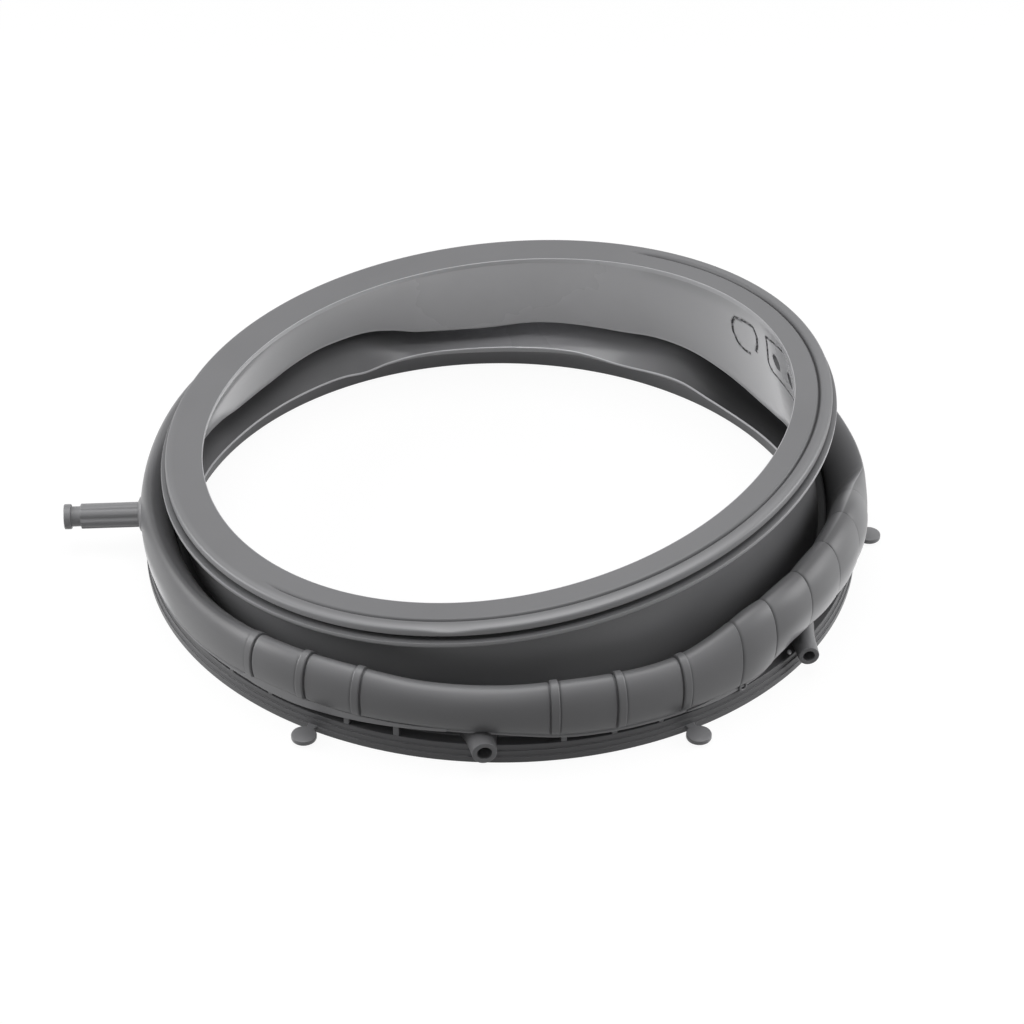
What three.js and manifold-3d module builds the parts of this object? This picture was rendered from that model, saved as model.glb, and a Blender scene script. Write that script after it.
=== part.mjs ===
// Washing machine door seal: one grey rubber moulding that joins the tub's mouth to the cabinet's front.
// The ring's axis is Z and the tub flange stands on z = 0, in millimetres.
// Azimuth 0 points along +X, to the side where the door lip stands highest, and grows towards +Y.
import * as THREE from 'three';
import { mergeVertices } from 'three/addons/utils/BufferGeometryUtils.js';
import Module from 'manifold-3d';

const wasm = await Module();
wasm.setup();

// Rubber
const RUBBER = { color: 0x6c6d70, roughness: 0.62, metalness: 0 };
const WALL = 2.8;

// Ring resolution
const RING_STEPS = 60;

// Tub flange, the thick ring that is clamped to the tub
const FLANGE_OUTER_RADIUS = 215;
const FLANGE_WIDTH = 23;
const FLANGE_INNER_RADIUS = FLANGE_OUTER_RADIUS - FLANGE_WIDTH;
const FLANGE_HEIGHT = 11.4;
const FLANGE_LEDGE = 0.9;
const FLANGE_LOW_LEDGE_HEIGHT = 4;
const FLANGE_HIGH_LEDGE_HEIGHT = 7.7;
const FLANGE_CHAMFER = 0.7;

// Clamp groove above the flange, where the tub's clamp band lies
const GROOVE_DEPTH = 9;
const SKIRT_THICKNESS = 4.6;
const SKIRT_SLOPE = 1;

// Inner lip at the drum side
const DRUM_LIP_REACH = 4.8;
const DRUM_LIP_BOTTOM = 12.6;
const DRUM_LIP_THICKNESS = 4.2;

// Channel between the roll and the inner wall
const CHANNEL_WIDTH_AT_FLOOR = 2.4;
const CREASE_INSET = 1.1;

// Inner wall, from the channel's floor up to the door lip
const WALL_FOOT_INSET = 2.8;
const WALL_TAPER = 12;
const WALL_FOOT_RADIUS = FLANGE_INNER_RADIUS - WALL_FOOT_INSET;
const WALL_HEAD_RADIUS = WALL_FOOT_RADIUS - WALL_TAPER;
const WALL_BULGE_POWER = 0.7;
const WALL_OUTER_SHARES = [0, 0.3, 0.6];
const WALL_INNER_SHARES = [0.8, 0.35, 0];

// Door lip, tilted and a little saddle-shaped, as the soft ring lies at rest
const LIP_OVERHANG = 2.2;
const LIP_WIDTH = 22.4;
const LIP_INNER_RADIUS = WALL_HEAD_RADIUS - LIP_OVERHANG;
const LIP_RIM_RADIUS = LIP_INNER_RADIUS + LIP_WIDTH;
const LIP_SHIFT_X = -2.5;
const LIP_HEIGHT = 88.6;
const LIP_RISE = 23.2;
const LIP_BACK_RISE = 2.6;
const LIP_SADDLE = 3;
const LIP_SADDLE_TURN = 18;
const LIP_RIM_DROP = 0.25;
const LIP_RIM_TWIST = 2.05;
const LIP_THICKNESS = 11;
const LIP_CROWN = 0.5;
const LIP_INNER_ROUND = 1;
const BAND_RIM_REACH = 2.8;
const BAND_RIM_RADIUS = LIP_RIM_RADIUS + BAND_RIM_REACH;
const BAND_RIM_THICKNESS = 4.2;
const BAND_SLOT_HEIGHT = 2.2;
const BAND_SLOT_DEPTH = 4.2;
const FACE_GROOVE_INSET = 14.6;
const FACE_GROOVE_RADIUS = LIP_INNER_RADIUS + FACE_GROOVE_INSET;
const FACE_GROOVE_WIDTH = 3.4;
const FACE_GROOVE_DEPTH = 1.4;
const FACE_GROOVE_START = 226;
const FACE_GROOVE_END = 424;
const FACE_GROOVE_FADE = 7;

// Roll's named sizes: heights of its skirt, crease, crest and channel floor, reach past the flange, and width
const ROLL_SKIRT_HEIGHT = 18;
const ROLL_CREASE_HEIGHT = 20;
const ROLL_CREST_HEIGHT = 50;
const ROLL_CHANNEL_HEIGHT = 30;
const ROLL_PROUD = 4;
const ROLL_WIDTH = 20;

// Roll round the ring: the share of each named size at each azimuth, and top, the share of the width by which
// the crest lies inside the roll's outer edge
const ROLL_STATIONS = [
  { at: 0, skirt: 1.03, crease: 1, crest: 1.04, channel: 1.1, proud: 1.13, width: 1, top: 0.11 },
  { at: 15, skirt: 1, crease: 0.98, crest: 0.98, channel: 1.17, proud: 1, width: 0.95, top: 0.11 },
  { at: 60, skirt: 0.97, crease: 0.95, crest: 0.96, channel: 1.2, proud: 0.75, width: 0.9, top: 0.12 },
  { at: 110, skirt: 0.89, crease: 0.88, crest: 0.98, channel: 1.2, proud: 0.5, width: 0.9, top: 0.25 },
  { at: 150, skirt: 0.78, crease: 0.78, crest: 1.08, channel: 1.13, proud: 0.75, width: 0.9, top: 0.45 },
  { at: 180, skirt: 0.72, crease: 0.73, crest: 0.94, channel: 0.93, proud: 0.5, width: 0.95, top: 0.48 },
  { at: 210, skirt: 0.71, crease: 0.72, crest: 0.86, channel: 0.87, proud: 0.25, width: 0.95, top: 0.48 },
  { at: 222, skirt: 0.81, crease: 0.85, crest: 0.89, channel: 0.87, proud: 0.38, width: 0.95, top: 0.48 },
  { at: 235, skirt: 0.86, crease: 1.03, crest: 0.96, channel: 0.9, proud: 0.63, width: 0.95, top: 0.48 },
  { at: 247, skirt: 0.97, crease: 1.06, crest: 0.99, channel: 0.9, proud: 0.63, width: 0.93, top: 0.47 },
  { at: 258, skirt: 1.13, crease: 1.12, crest: 0.96, channel: 0.93, proud: 0.63, width: 0.93, top: 0.47 },
  { at: 270, skirt: 1.11, crease: 1.08, crest: 0.97, channel: 0.93, proud: 0.75, width: 0.95, top: 0.48 },
  { at: 281, skirt: 0.96, crease: 0.93, crest: 1, channel: 0.93, proud: 0.75, width: 0.95, top: 0.48 },
  { at: 298, skirt: 0.91, crease: 0.88, crest: 0.99, channel: 0.93, proud: 0.75, width: 0.98, top: 0.49 },
  { at: 310, skirt: 1.21, crease: 1.2, crest: 1.18, channel: 1.03, proud: 1, width: 1.08, top: 0.54 },
  { at: 320, skirt: 1.33, crease: 1.33, crest: 1.26, channel: 1.1, proud: 1.25, width: 1.15, top: 0.58 },
  { at: 331, skirt: 1.24, crease: 1.25, crest: 1.3, channel: 1.1, proud: 1.25, width: 1.15, top: 0.58 },
  { at: 344, skirt: 1.11, crease: 1.1, crest: 1.26, channel: 1.1, proud: 1.38, width: 1.15, top: 0.58 },
  { at: 352, skirt: 1.06, crease: 1.03, crest: 1.14, channel: 1.1, proud: 1.38, width: 1.02, top: 0.5 },
];
const ROLL_MIDDLE_SHARE = 0.42;
const SHEET_SLOPE = 1.4;

// Stretches of the roll's outline, in degrees, and their points
const LOWER_ARC = { first: -50, last: -20, points: 2 };
const CREST_ARC = { first: 0, last: 90, points: 5 };
const CHANNEL_ARC = { first: 120, last: 180, points: 3 };

// Bands moulded across the roll: six wide straps at the front, then six narrow steps up the side
const STRAPS = { azimuths: [230.1, 239.8, 249, 278.1, 287.8, 298.3], width: 6, height: 0.9 };
const STEPS = { azimuths: [308.2, 315.2, 323.8, 332.8, 342, 350.5], width: 2.4, height: 0.6 };
const BAND_OUTER_ARC = { first: 0, last: 130, points: 5 };
const BAND_INNER_ARC = { first: 130, last: 0, points: 3 };

// Posts across the clamp groove
const POST_AZIMUTHS = [207, 216, 224, 232.4, 246.2, 254.2, 279.5, 287.3, 294.9, 308.5];
const POST_WIDTH = 2.8;
const POST_REACH = 6.6;

// Locating tabs on the flange's edge, at the pitch of the three that show
const TAB_AZIMUTHS = [-1.4, 60, 120, 240.7, 299.6];
const TAB_RADIUS = 7.2;
const TAB_REACH = 9;
const TAB_CENTRE_RADIUS = FLANGE_OUTER_RADIUS + TAB_REACH;
const TAB_THICKNESS = 3;
const TAB_BOTTOM = 1.6;
const TAB_NECK_WIDTH = 5.2;
const TAB_SIDES = 14;

// Drain nozzles, both along the same direction; the bores open into the roll's hollow
const FRONT_NOZZLE = {
  azimuth: 267.75,
  reach: 8.7,
  height: 14,
  length: 20,
  mouthDiameter: 14,
  rootDiameter: 18.4,
  bore: 9,
  boreLength: 31,
};
const SIDE_NOZZLE = {
  azimuth: 321.6,
  reach: 9.6,
  height: 15.4,
  length: 27,
  mouthDiameter: 12,
  rootDiameter: 15,
  bore: 6.6,
  boreLength: 46,
};
const NOZZLE_TURN = 8;
const NOZZLE_SIDES = 16;

// Side pipe, a ribbed hose end
const PIPE_AZIMUTH = 183.2;
const PIPE_AXIS_HEIGHT = 23.7;
const PIPE_REACH = 48;
const PIPE_ROOT_DEPTH = 8;
const PIPE_END_RADIUS = FLANGE_OUTER_RADIUS + PIPE_REACH;
const PIPE_ROOT_RADIUS = FLANGE_OUTER_RADIUS - PIPE_ROOT_DEPTH;
const PIPE_CORE_DIAMETER = 13.4;
const PIPE_RIB_COUNT = 8;
const PIPE_RIB_HEIGHT = 1;
const PIPE_RIB_SHARE = 0.3;
const PIPE_NECK_LENGTH = 5.6;
const PIPE_NECK_DIAMETER = 12;
const PIPE_COLLAR_LENGTH = 4.8;
const PIPE_COLLAR_DIAMETER = 15.2;
const PIPE_BORE = 8.4;
const PIPE_BOSS_DIAMETER = 26;
const PIPE_BOSS_REACH = 3.6;
const PIPE_BOSS_END_RADIUS = FLANGE_OUTER_RADIUS + PIPE_BOSS_REACH;
const PIPE_SIDES = 16;

// Marks on the inner wall, seen through the ring
const MARK_RELIEF = 0.9;
const RING_MARK = { azimuth: 33, height: 87, diameter: 28, line: 2.2, sides: 20 };
const PAD = { azimuth: 17.6, height: 83.8, width: 46, tall: 21, corner: 5 };
const PAD_HOLE_AZIMUTHS = [20.8, 13.4];
const PAD_HOLE_DIAMETER = 10;
const HOLE_SIDES = 14;
const HOLE_DEPTH = 16;
const WALL_LEAN_STEP = 0.02;

const radians = THREE.MathUtils.degToRad;
const smooth = (share) => THREE.MathUtils.smoothstep(share, 0, 1);

// A share of the roll at an azimuth, eased from one station to the next
function rollShare(name, azimuth) {
  const turn = THREE.MathUtils.euclideanModulo(azimuth, 360);
  const next = ROLL_STATIONS.findIndex((station) => station.at > turn);
  const after = next < 0 ? ROLL_STATIONS[0] : ROLL_STATIONS[next];
  const before = next < 0 ? ROLL_STATIONS.at(-1) : ROLL_STATIONS[next - 1];
  const span = (next < 0 ? 360 : after.at) - before.at;
  const share = smooth((turn - before.at) / span);
  return THREE.MathUtils.lerp(before[name], after[name], share);
}

// The roll's sizes at an azimuth
function rollAt(azimuth) {
  const crease = ROLL_CREASE_HEIGHT * rollShare('crease', azimuth);
  const crest = ROLL_CREST_HEIGHT * rollShare('crest', azimuth);
  const outer = FLANGE_OUTER_RADIUS + ROLL_PROUD * rollShare('proud', azimuth);
  const width = rollShare('width', azimuth);
  const top = rollShare('top', azimuth);
  return {
    crease,
    crest,
    outer,
    inner: outer - ROLL_WIDTH * width,
    slant: 2 - (2 * top) / width,
    skirt: ROLL_SKIRT_HEIGHT * rollShare('skirt', azimuth),
    channel: ROLL_CHANNEL_HEIGHT * rollShare('channel', azimuth),
    middle: THREE.MathUtils.lerp(crease, crest, ROLL_MIDDLE_SHARE),
    crestRadius: outer - ROLL_WIDTH * top,
  };
}

// Height of the lip's inner edge and of its rim
function lipHeight(azimuth) {
  const turn = radians(azimuth);
  const saddle = LIP_SADDLE * Math.cos(2 * radians(azimuth + LIP_SADDLE_TURN));
  return LIP_HEIGHT + LIP_RISE * Math.cos(turn) + LIP_BACK_RISE * Math.sin(turn) + saddle;
}

function rimHeight(azimuth) {
  return lipHeight(azimuth) - LIP_RIM_DROP + LIP_RIM_TWIST * Math.sin(radians(azimuth));
}

// How deep the face groove is cut at an azimuth, from 0 to 1
function faceGrooveShare(azimuth) {
  const turn = THREE.MathUtils.euclideanModulo(azimuth - FACE_GROOVE_START, 360);
  const length = FACE_GROOVE_END - FACE_GROOVE_START;
  const rise = THREE.MathUtils.smoothstep(turn, 0, FACE_GROOVE_FADE);
  const fall = THREE.MathUtils.smoothstep(turn, length - FACE_GROOVE_FADE, length);
  return rise - fall;
}

// A stretch of an ellipse's outline, by its centre and half sizes; a slant of 2 draws it to a straight slope
function arc(centre, half, stretch, slant = 1) {
  const drawn = (value) => Math.sign(value) * Math.abs(value) ** slant;
  return Array.from({ length: stretch.points }, (_, i) => {
    const angle = radians(THREE.MathUtils.lerp(stretch.first, stretch.last, i / (stretch.points - 1)));
    return [centre[0] + half[0] * drawn(Math.cos(angle)), centre[1] + half[1] * drawn(Math.sin(angle))];
  });
}

// Flange: its underside, stepped outer face and top, out to the groove's foot
function flangeOutline() {
  const outer = FLANGE_OUTER_RADIUS;
  return [
    [FLANGE_INNER_RADIUS, 0],
    [outer - FLANGE_CHAMFER, 0],
    [outer, FLANGE_CHAMFER],
    [outer, FLANGE_LOW_LEDGE_HEIGHT],
    [outer - FLANGE_LEDGE, FLANGE_LOW_LEDGE_HEIGHT],
    [outer - FLANGE_LEDGE, FLANGE_HIGH_LEDGE_HEIGHT],
    [outer - 2 * FLANGE_LEDGE, FLANGE_HIGH_LEDGE_HEIGHT],
    [outer - 2 * FLANGE_LEDGE, FLANGE_HEIGHT],
    [outer - GROOVE_DEPTH, FLANGE_HEIGHT],
  ];
}

// Outer side of the roll, from the groove over the skirt and the crest down into the channel
function rollOutline(roll) {
  const creaseRadius = FLANGE_OUTER_RADIUS - CREASE_INSET;
  const crestHalf = [roll.outer - roll.crestRadius, roll.crest - roll.middle];
  const channelTop = roll.channel + CHANNEL_WIDTH_AT_FLOOR;
  const channelHalf = [roll.crestRadius - roll.inner, roll.crest - channelTop];
  return [
    [FLANGE_OUTER_RADIUS - GROOVE_DEPTH, roll.skirt + SKIRT_SLOPE],
    [creaseRadius - SKIRT_THICKNESS, roll.skirt],
    [creaseRadius + CREASE_INSET / 2, roll.skirt],
    [creaseRadius, roll.crease],
    ...arc([creaseRadius, roll.middle], [roll.outer - creaseRadius, roll.middle - roll.crease], LOWER_ARC),
    ...arc([roll.crestRadius, roll.middle], crestHalf, CREST_ARC),
    ...arc([roll.crestRadius, channelTop], channelHalf, CHANNEL_ARC, roll.slant),
  ];
}

// Inner wall's radius at a share of its height, 0 at the channel's floor and 1 under the lip
function wallRadius(share) {
  return WALL_HEAD_RADIUS + (WALL_FOOT_RADIUS - WALL_HEAD_RADIUS) * (1 - share) ** WALL_BULGE_POWER;
}

// Channel floor and the inner wall's outer side
function channelOutline(roll, lip) {
  const foot = roll.channel + CHANNEL_WIDTH_AT_FLOOR;
  const head = lip.inner - LIP_THICKNESS - LIP_INNER_ROUND;
  return [
    [roll.inner - CHANNEL_WIDTH_AT_FLOOR / 2, roll.channel],
    [WALL_FOOT_RADIUS + WALL + CHANNEL_WIDTH_AT_FLOOR, roll.channel],
    ...WALL_OUTER_SHARES.map((share) => [wallRadius(share) + WALL, THREE.MathUtils.lerp(foot, head, share)]),
  ];
}

// Door lip: its underside, two rims with the band slot between, and its grooved face
function lipOutline(lip) {
  const rim = lip.rim;
  const slotTop = rim - (LIP_THICKNESS - BAND_RIM_THICKNESS - BAND_SLOT_HEIGHT);
  const slotBottom = slotTop - BAND_SLOT_HEIGHT;
  const slope = (lip.rim - lip.inner) / (LIP_RIM_RADIUS - LIP_INNER_RADIUS);
  const face = (radius) => lip.inner + slope * (radius - LIP_INNER_RADIUS);
  const halfGroove = FACE_GROOVE_WIDTH / 2;
  return [
    [WALL_HEAD_RADIUS + WALL, lip.inner - LIP_THICKNESS],
    [LIP_RIM_RADIUS, rim - LIP_THICKNESS],
    [BAND_RIM_RADIUS, rim - LIP_THICKNESS + BAND_SLOT_HEIGHT / 2],
    [BAND_RIM_RADIUS - BAND_SLOT_HEIGHT / 4, slotBottom],
    [LIP_RIM_RADIUS - BAND_SLOT_DEPTH, slotBottom],
    [LIP_RIM_RADIUS - BAND_SLOT_DEPTH, slotTop],
    [LIP_RIM_RADIUS, slotTop],
    [LIP_RIM_RADIUS, rim - LIP_CROWN],
    [LIP_RIM_RADIUS - LIP_CROWN, rim],
    [FACE_GROOVE_RADIUS + halfGroove, face(FACE_GROOVE_RADIUS + halfGroove) + LIP_CROWN],
    [FACE_GROOVE_RADIUS, face(FACE_GROOVE_RADIUS) + LIP_CROWN - FACE_GROOVE_DEPTH * lip.groove],
    [FACE_GROOVE_RADIUS - halfGroove, face(FACE_GROOVE_RADIUS - halfGroove) + LIP_CROWN],
    [LIP_INNER_RADIUS + LIP_INNER_ROUND, face(LIP_INNER_RADIUS + LIP_INNER_ROUND)],
    [LIP_INNER_RADIUS, lip.inner - LIP_INNER_ROUND],
    [LIP_INNER_RADIUS + LIP_CROWN, lip.inner - 2 * LIP_INNER_ROUND],
  ];
}

// Drum side of the inner wall, from the lip down to the fold
function innerWallOutline(roll, lip) {
  const head = lip.inner - LIP_THICKNESS - LIP_INNER_ROUND;
  return WALL_INNER_SHARES.map((share) => {
    return [wallRadius(share), THREE.MathUtils.lerp(roll.channel, head, share)];
  });
}

// Hollow of the roll, open to the drum side, and the drum lip below it
function hollowOutline(roll) {
  const lipTip = FLANGE_INNER_RADIUS - DRUM_LIP_REACH;
  const lipTop = DRUM_LIP_BOTTOM + DRUM_LIP_THICKNESS;
  const floor = Math.max(lipTop, roll.crease - WALL) + WALL / 2;
  const peakRadius = Math.min(roll.crestRadius, roll.outer - 2 * WALL);
  const peakDrop = WALL + SHEET_SLOPE * (roll.crestRadius - peakRadius);
  return [
    [WALL_FOOT_RADIUS + WALL, roll.channel - WALL],
    [roll.inner + WALL / 2, roll.channel - WALL],
    [roll.inner + WALL, roll.channel + CHANNEL_WIDTH_AT_FLOOR],
    [peakRadius, roll.crest - peakDrop],
    [roll.outer - WALL, roll.middle],
    [FLANGE_OUTER_RADIUS - CREASE_INSET - WALL, roll.crease + WALL],
    [FLANGE_OUTER_RADIUS - GROOVE_DEPTH - WALL, floor],
    [lipTip + DRUM_LIP_THICKNESS / 2, lipTop],
    [lipTip, DRUM_LIP_BOTTOM],
    [FLANGE_INNER_RADIUS, DRUM_LIP_BOTTOM - DRUM_LIP_REACH / 2],
  ];
}

// The whole closed section at an azimuth; lift says how far a point follows the lip's sideways shift
function sectionAt(azimuth) {
  const roll = rollAt(azimuth);
  const lip = { inner: lipHeight(azimuth), rim: rimHeight(azimuth), groove: faceGrooveShare(azimuth) };
  const span = lip.inner - LIP_THICKNESS - roll.channel;
  const fixed = (outline) => outline.map(([r, z]) => ({ r, z, lift: 0 }));
  const lifted = (outline) => outline.map(([r, z]) => {
    return { r, z, lift: smooth((z - roll.channel) / span) };
  });
  return [
    ...fixed(flangeOutline()),
    ...fixed(rollOutline(roll)),
    ...lifted(channelOutline(roll, lip)),
    ...lifted(lipOutline(lip)),
    ...lifted(innerWallOutline(roll, lip)),
    ...fixed(hollowOutline(roll)),
  ];
}

// A closed geometry as a solid
function solidOf(geometry) {
  geometry.deleteAttribute('normal');
  geometry.deleteAttribute('uv');
  const merged = mergeVertices(geometry, 1e-5);
  const mesh = new wasm.Mesh({
    numProp: 3,
    vertProperties: new Float32Array(merged.attributes.position.array),
    triVerts: new Uint32Array(merged.index.array),
  });
  mesh.merge();
  return new wasm.Manifold(mesh);
}

// The ring: a lathe of the section, whose outline follows the stations round the axis
function ringSolid() {
  const first = sectionAt(0);
  const profile = [...first, first[0]].map((point) => new THREE.Vector2(point.r, point.z));
  const geometry = new THREE.LatheGeometry(profile, RING_STEPS);
  const position = geometry.attributes.position;
  for (let step = 0; step <= RING_STEPS; step += 1) {
    const azimuth = (360 * (step % RING_STEPS)) / RING_STEPS;
    const section = sectionAt(azimuth);
    profile.forEach((_, i) => {
      const { r, z, lift } = section[i % section.length];
      const x = r * Math.cos(radians(azimuth)) + LIP_SHIFT_X * lift;
      position.setXYZ(step * profile.length + i, x, r * Math.sin(radians(azimuth)), z);
    });
  }
  return solidOf(geometry);
}

// Places a geometry built about the +X axis at an azimuth of the ring
function atAzimuth(geometry, azimuth) {
  return geometry.rotateZ(radians(azimuth));
}

// A band across the roll, let into its wall and standing out by its height
function bandSolid(azimuth, band) {
  const roll = rollAt(azimuth);
  const centre = [roll.crestRadius, roll.middle];
  const half = [roll.outer - roll.crestRadius, roll.crest - roll.middle];
  const grown = half.map((size) => size + band.height);
  const shrunk = half.map((size) => size - WALL / 2);
  const footHeight = roll.crease + WALL;
  const outline = [
    [roll.outer - WALL, footHeight],
    [roll.outer + band.height / 2, footHeight],
    ...arc(centre, grown, BAND_OUTER_ARC),
    ...arc(centre, shrunk, BAND_INNER_ARC),
  ];
  const shape = new THREE.Shape(outline.map(([r, z]) => new THREE.Vector2(r, z)));
  const geometry = new THREE.ExtrudeGeometry(shape, { depth: band.width, bevelEnabled: false });
  geometry.translate(0, 0, -band.width / 2);
  geometry.rotateX(Math.PI / 2);
  return solidOf(atAzimuth(geometry, azimuth));
}

// A post from the flange's top up to the skirt
function postSolid(azimuth) {
  const root = FLANGE_OUTER_RADIUS - GROOVE_DEPTH - WALL / 2;
  const bottom = FLANGE_HEIGHT - FLANGE_LEDGE;
  const top = rollAt(azimuth).skirt + FLANGE_LEDGE;
  const length = POST_REACH + WALL / 2;
  const geometry = new THREE.BoxGeometry(length, POST_WIDTH, top - bottom);
  geometry.translate(root + length / 2, 0, (top + bottom) / 2);
  return solidOf(atAzimuth(geometry, azimuth));
}

// A locating tab: a flat disc on a short neck
function tabSolid(azimuth) {
  const disc = new THREE.CylinderGeometry(TAB_RADIUS, TAB_RADIUS, TAB_THICKNESS, TAB_SIDES);
  disc.rotateX(Math.PI / 2);
  disc.translate(TAB_CENTRE_RADIUS, 0, TAB_BOTTOM + TAB_THICKNESS / 2);
  const neckLength = TAB_CENTRE_RADIUS - FLANGE_OUTER_RADIUS + WALL;
  const neck = new THREE.BoxGeometry(neckLength, TAB_NECK_WIDTH, TAB_THICKNESS);
  neck.translate(TAB_CENTRE_RADIUS - neckLength / 2, 0, TAB_BOTTOM + TAB_THICKNESS / 2);
  return solidOf(atAzimuth(disc, azimuth)).add(solidOf(atAzimuth(neck, azimuth)));
}

// A round solid along +X from one place to another
function roundAlongX(firstRadius, lastRadius, from, to, sides) {
  const geometry = new THREE.CylinderGeometry(lastRadius, firstRadius, to - from, sides);
  geometry.rotateZ(-Math.PI / 2);
  return geometry.translate((from + to) / 2, 0, 0);
}

// Sets a round solid along the nozzles' direction, its end at the nozzle's mouth
function atNozzleMouth(geometry, nozzle) {
  const turn = radians(nozzle.azimuth);
  const radius = FLANGE_OUTER_RADIUS + nozzle.reach;
  geometry.rotateZ(radians(NOZZLE_TURN - 90));
  geometry.translate(radius * Math.cos(turn), radius * Math.sin(turn), nozzle.height);
  return solidOf(geometry);
}

function nozzleSolid(nozzle) {
  const root = nozzle.rootDiameter / 2;
  const body = roundAlongX(root, nozzle.mouthDiameter / 2, -nozzle.length, 0, NOZZLE_SIDES);
  return atNozzleMouth(body, nozzle);
}

function nozzleBoreSolid(nozzle) {
  const bore = roundAlongX(nozzle.bore / 2, nozzle.bore / 2, -nozzle.boreLength, WALL, NOZZLE_SIDES);
  return atNozzleMouth(bore, nozzle);
}

// Outline of the pipe's ribbed stretch: a round core with ribs along it
function ribbedOutline() {
  const core = PIPE_CORE_DIAMETER / 2;
  const crown = core + PIPE_RIB_HEIGHT;
  const corners = [[0, core], [0, crown], [PIPE_RIB_SHARE, crown], [PIPE_RIB_SHARE, core]];
  const ribs = Array.from({ length: PIPE_RIB_COUNT }, (_, rib) => corners.map(([share, radius]) => {
    const angle = ((rib + share) / PIPE_RIB_COUNT) * 2 * Math.PI;
    return new THREE.Vector2(radius * Math.cos(angle), radius * Math.sin(angle));
  }));
  return ribs.flat();
}

function pipeRibbedStretch(from, to) {
  const shape = new THREE.Shape(ribbedOutline());
  const geometry = new THREE.ExtrudeGeometry(shape, { depth: to - from, bevelEnabled: false });
  geometry.rotateY(Math.PI / 2);
  return geometry.translate(from, 0, 0);
}

// The side pipe without its bore: boss, ribbed stretch, neck and end collar
function pipeSolid() {
  const neckEnd = PIPE_END_RADIUS - PIPE_COLLAR_LENGTH;
  const ribbedEnd = neckEnd - PIPE_NECK_LENGTH;
  const boss = PIPE_BOSS_DIAMETER / 2;
  const core = PIPE_CORE_DIAMETER / 2;
  const neck = PIPE_NECK_DIAMETER / 2;
  const collar = PIPE_COLLAR_DIAMETER / 2;
  const pieces = [
    roundAlongX(boss, core, PIPE_ROOT_RADIUS, PIPE_BOSS_END_RADIUS, PIPE_SIDES),
    pipeRibbedStretch(PIPE_ROOT_RADIUS, ribbedEnd),
    roundAlongX(neck, neck, ribbedEnd - WALL, neckEnd + WALL, PIPE_SIDES),
    roundAlongX(collar, collar, neckEnd, PIPE_END_RADIUS, PIPE_SIDES),
  ];
  const placed = pieces.map((piece) => {
    return solidOf(atAzimuth(piece.translate(0, 0, PIPE_AXIS_HEIGHT), PIPE_AZIMUTH));
  });
  return placed.reduce((whole, piece) => whole.add(piece));
}

function pipeBoreSolid() {
  const radius = PIPE_BORE / 2;
  const bore = roundAlongX(radius, radius, PIPE_ROOT_RADIUS - WALL, PIPE_END_RADIUS + WALL, PIPE_SIDES);
  bore.translate(0, 0, PIPE_AXIS_HEIGHT);
  return solidOf(atAzimuth(bore, PIPE_AZIMUTH));
}

// Radius and lean of the inner wall's drum side at a place on it
function wallPlace(azimuth, height) {
  const { channel } = rollAt(azimuth);
  const head = lipHeight(azimuth) - LIP_THICKNESS - LIP_INNER_ROUND;
  const share = THREE.MathUtils.clamp((height - channel) / (head - channel), 0, 1);
  const rise = WALL_LEAN_STEP * (head - channel);
  const lean = Math.atan2(wallRadius(share - WALL_LEAN_STEP) - wallRadius(share), rise);
  const shift = LIP_SHIFT_X * smooth(share) * Math.cos(radians(azimuth));
  return { radius: wallRadius(share) + shift, lean };
}

// Sets a flat solid, drawn in X and Y and thick along Z, on the inner wall's drum side
function onInnerWall(geometry, azimuth, height, depth) {
  const { radius, lean } = wallPlace(azimuth, height);
  geometry.rotateX(Math.PI / 2);
  geometry.rotateZ(-Math.PI / 2);
  geometry.translate(depth, 0, 0);
  geometry.rotateY(lean);
  geometry.translate(radius, 0, height);
  return solidOf(atAzimuth(geometry, azimuth));
}

// The round mark, a raised ring line
function ringMarkSolid() {
  const outer = new THREE.Path().absarc(0, 0, RING_MARK.diameter / 2, 0, 2 * Math.PI);
  const shape = new THREE.Shape(outer.getPoints(RING_MARK.sides));
  const hole = new THREE.Path().absarc(0, 0, RING_MARK.diameter / 2 - RING_MARK.line, 0, 2 * Math.PI);
  shape.holes.push(new THREE.Path(hole.getPoints(RING_MARK.sides)));
  const geometry = new THREE.ExtrudeGeometry(shape, { depth: WALL, bevelEnabled: false });
  return onInnerWall(geometry, RING_MARK.azimuth, RING_MARK.height, WALL - MARK_RELIEF);
}

// The raised pad with rounded corners
function padSolid() {
  const x = PAD.width / 2 - PAD.corner;
  const y = PAD.tall / 2 - PAD.corner;
  const shape = new THREE.Shape();
  shape.absarc(x, y, PAD.corner, 0, Math.PI / 2);
  shape.absarc(-x, y, PAD.corner, Math.PI / 2, Math.PI);
  shape.absarc(-x, -y, PAD.corner, Math.PI, 1.5 * Math.PI);
  shape.absarc(x, -y, PAD.corner, 1.5 * Math.PI, 2 * Math.PI);
  const geometry = new THREE.ExtrudeGeometry(shape, { depth: WALL, bevelEnabled: false, curveSegments: 3 });
  return onInnerWall(geometry, PAD.azimuth, PAD.height, WALL - 2 * MARK_RELIEF);
}

function padHoleSolid(azimuth) {
  const radius = PAD_HOLE_DIAMETER / 2;
  const geometry = new THREE.CylinderGeometry(radius, radius, HOLE_DEPTH, HOLE_SIDES);
  geometry.rotateX(Math.PI / 2);
  return onInnerWall(geometry, azimuth, PAD.height, 0);
}

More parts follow.
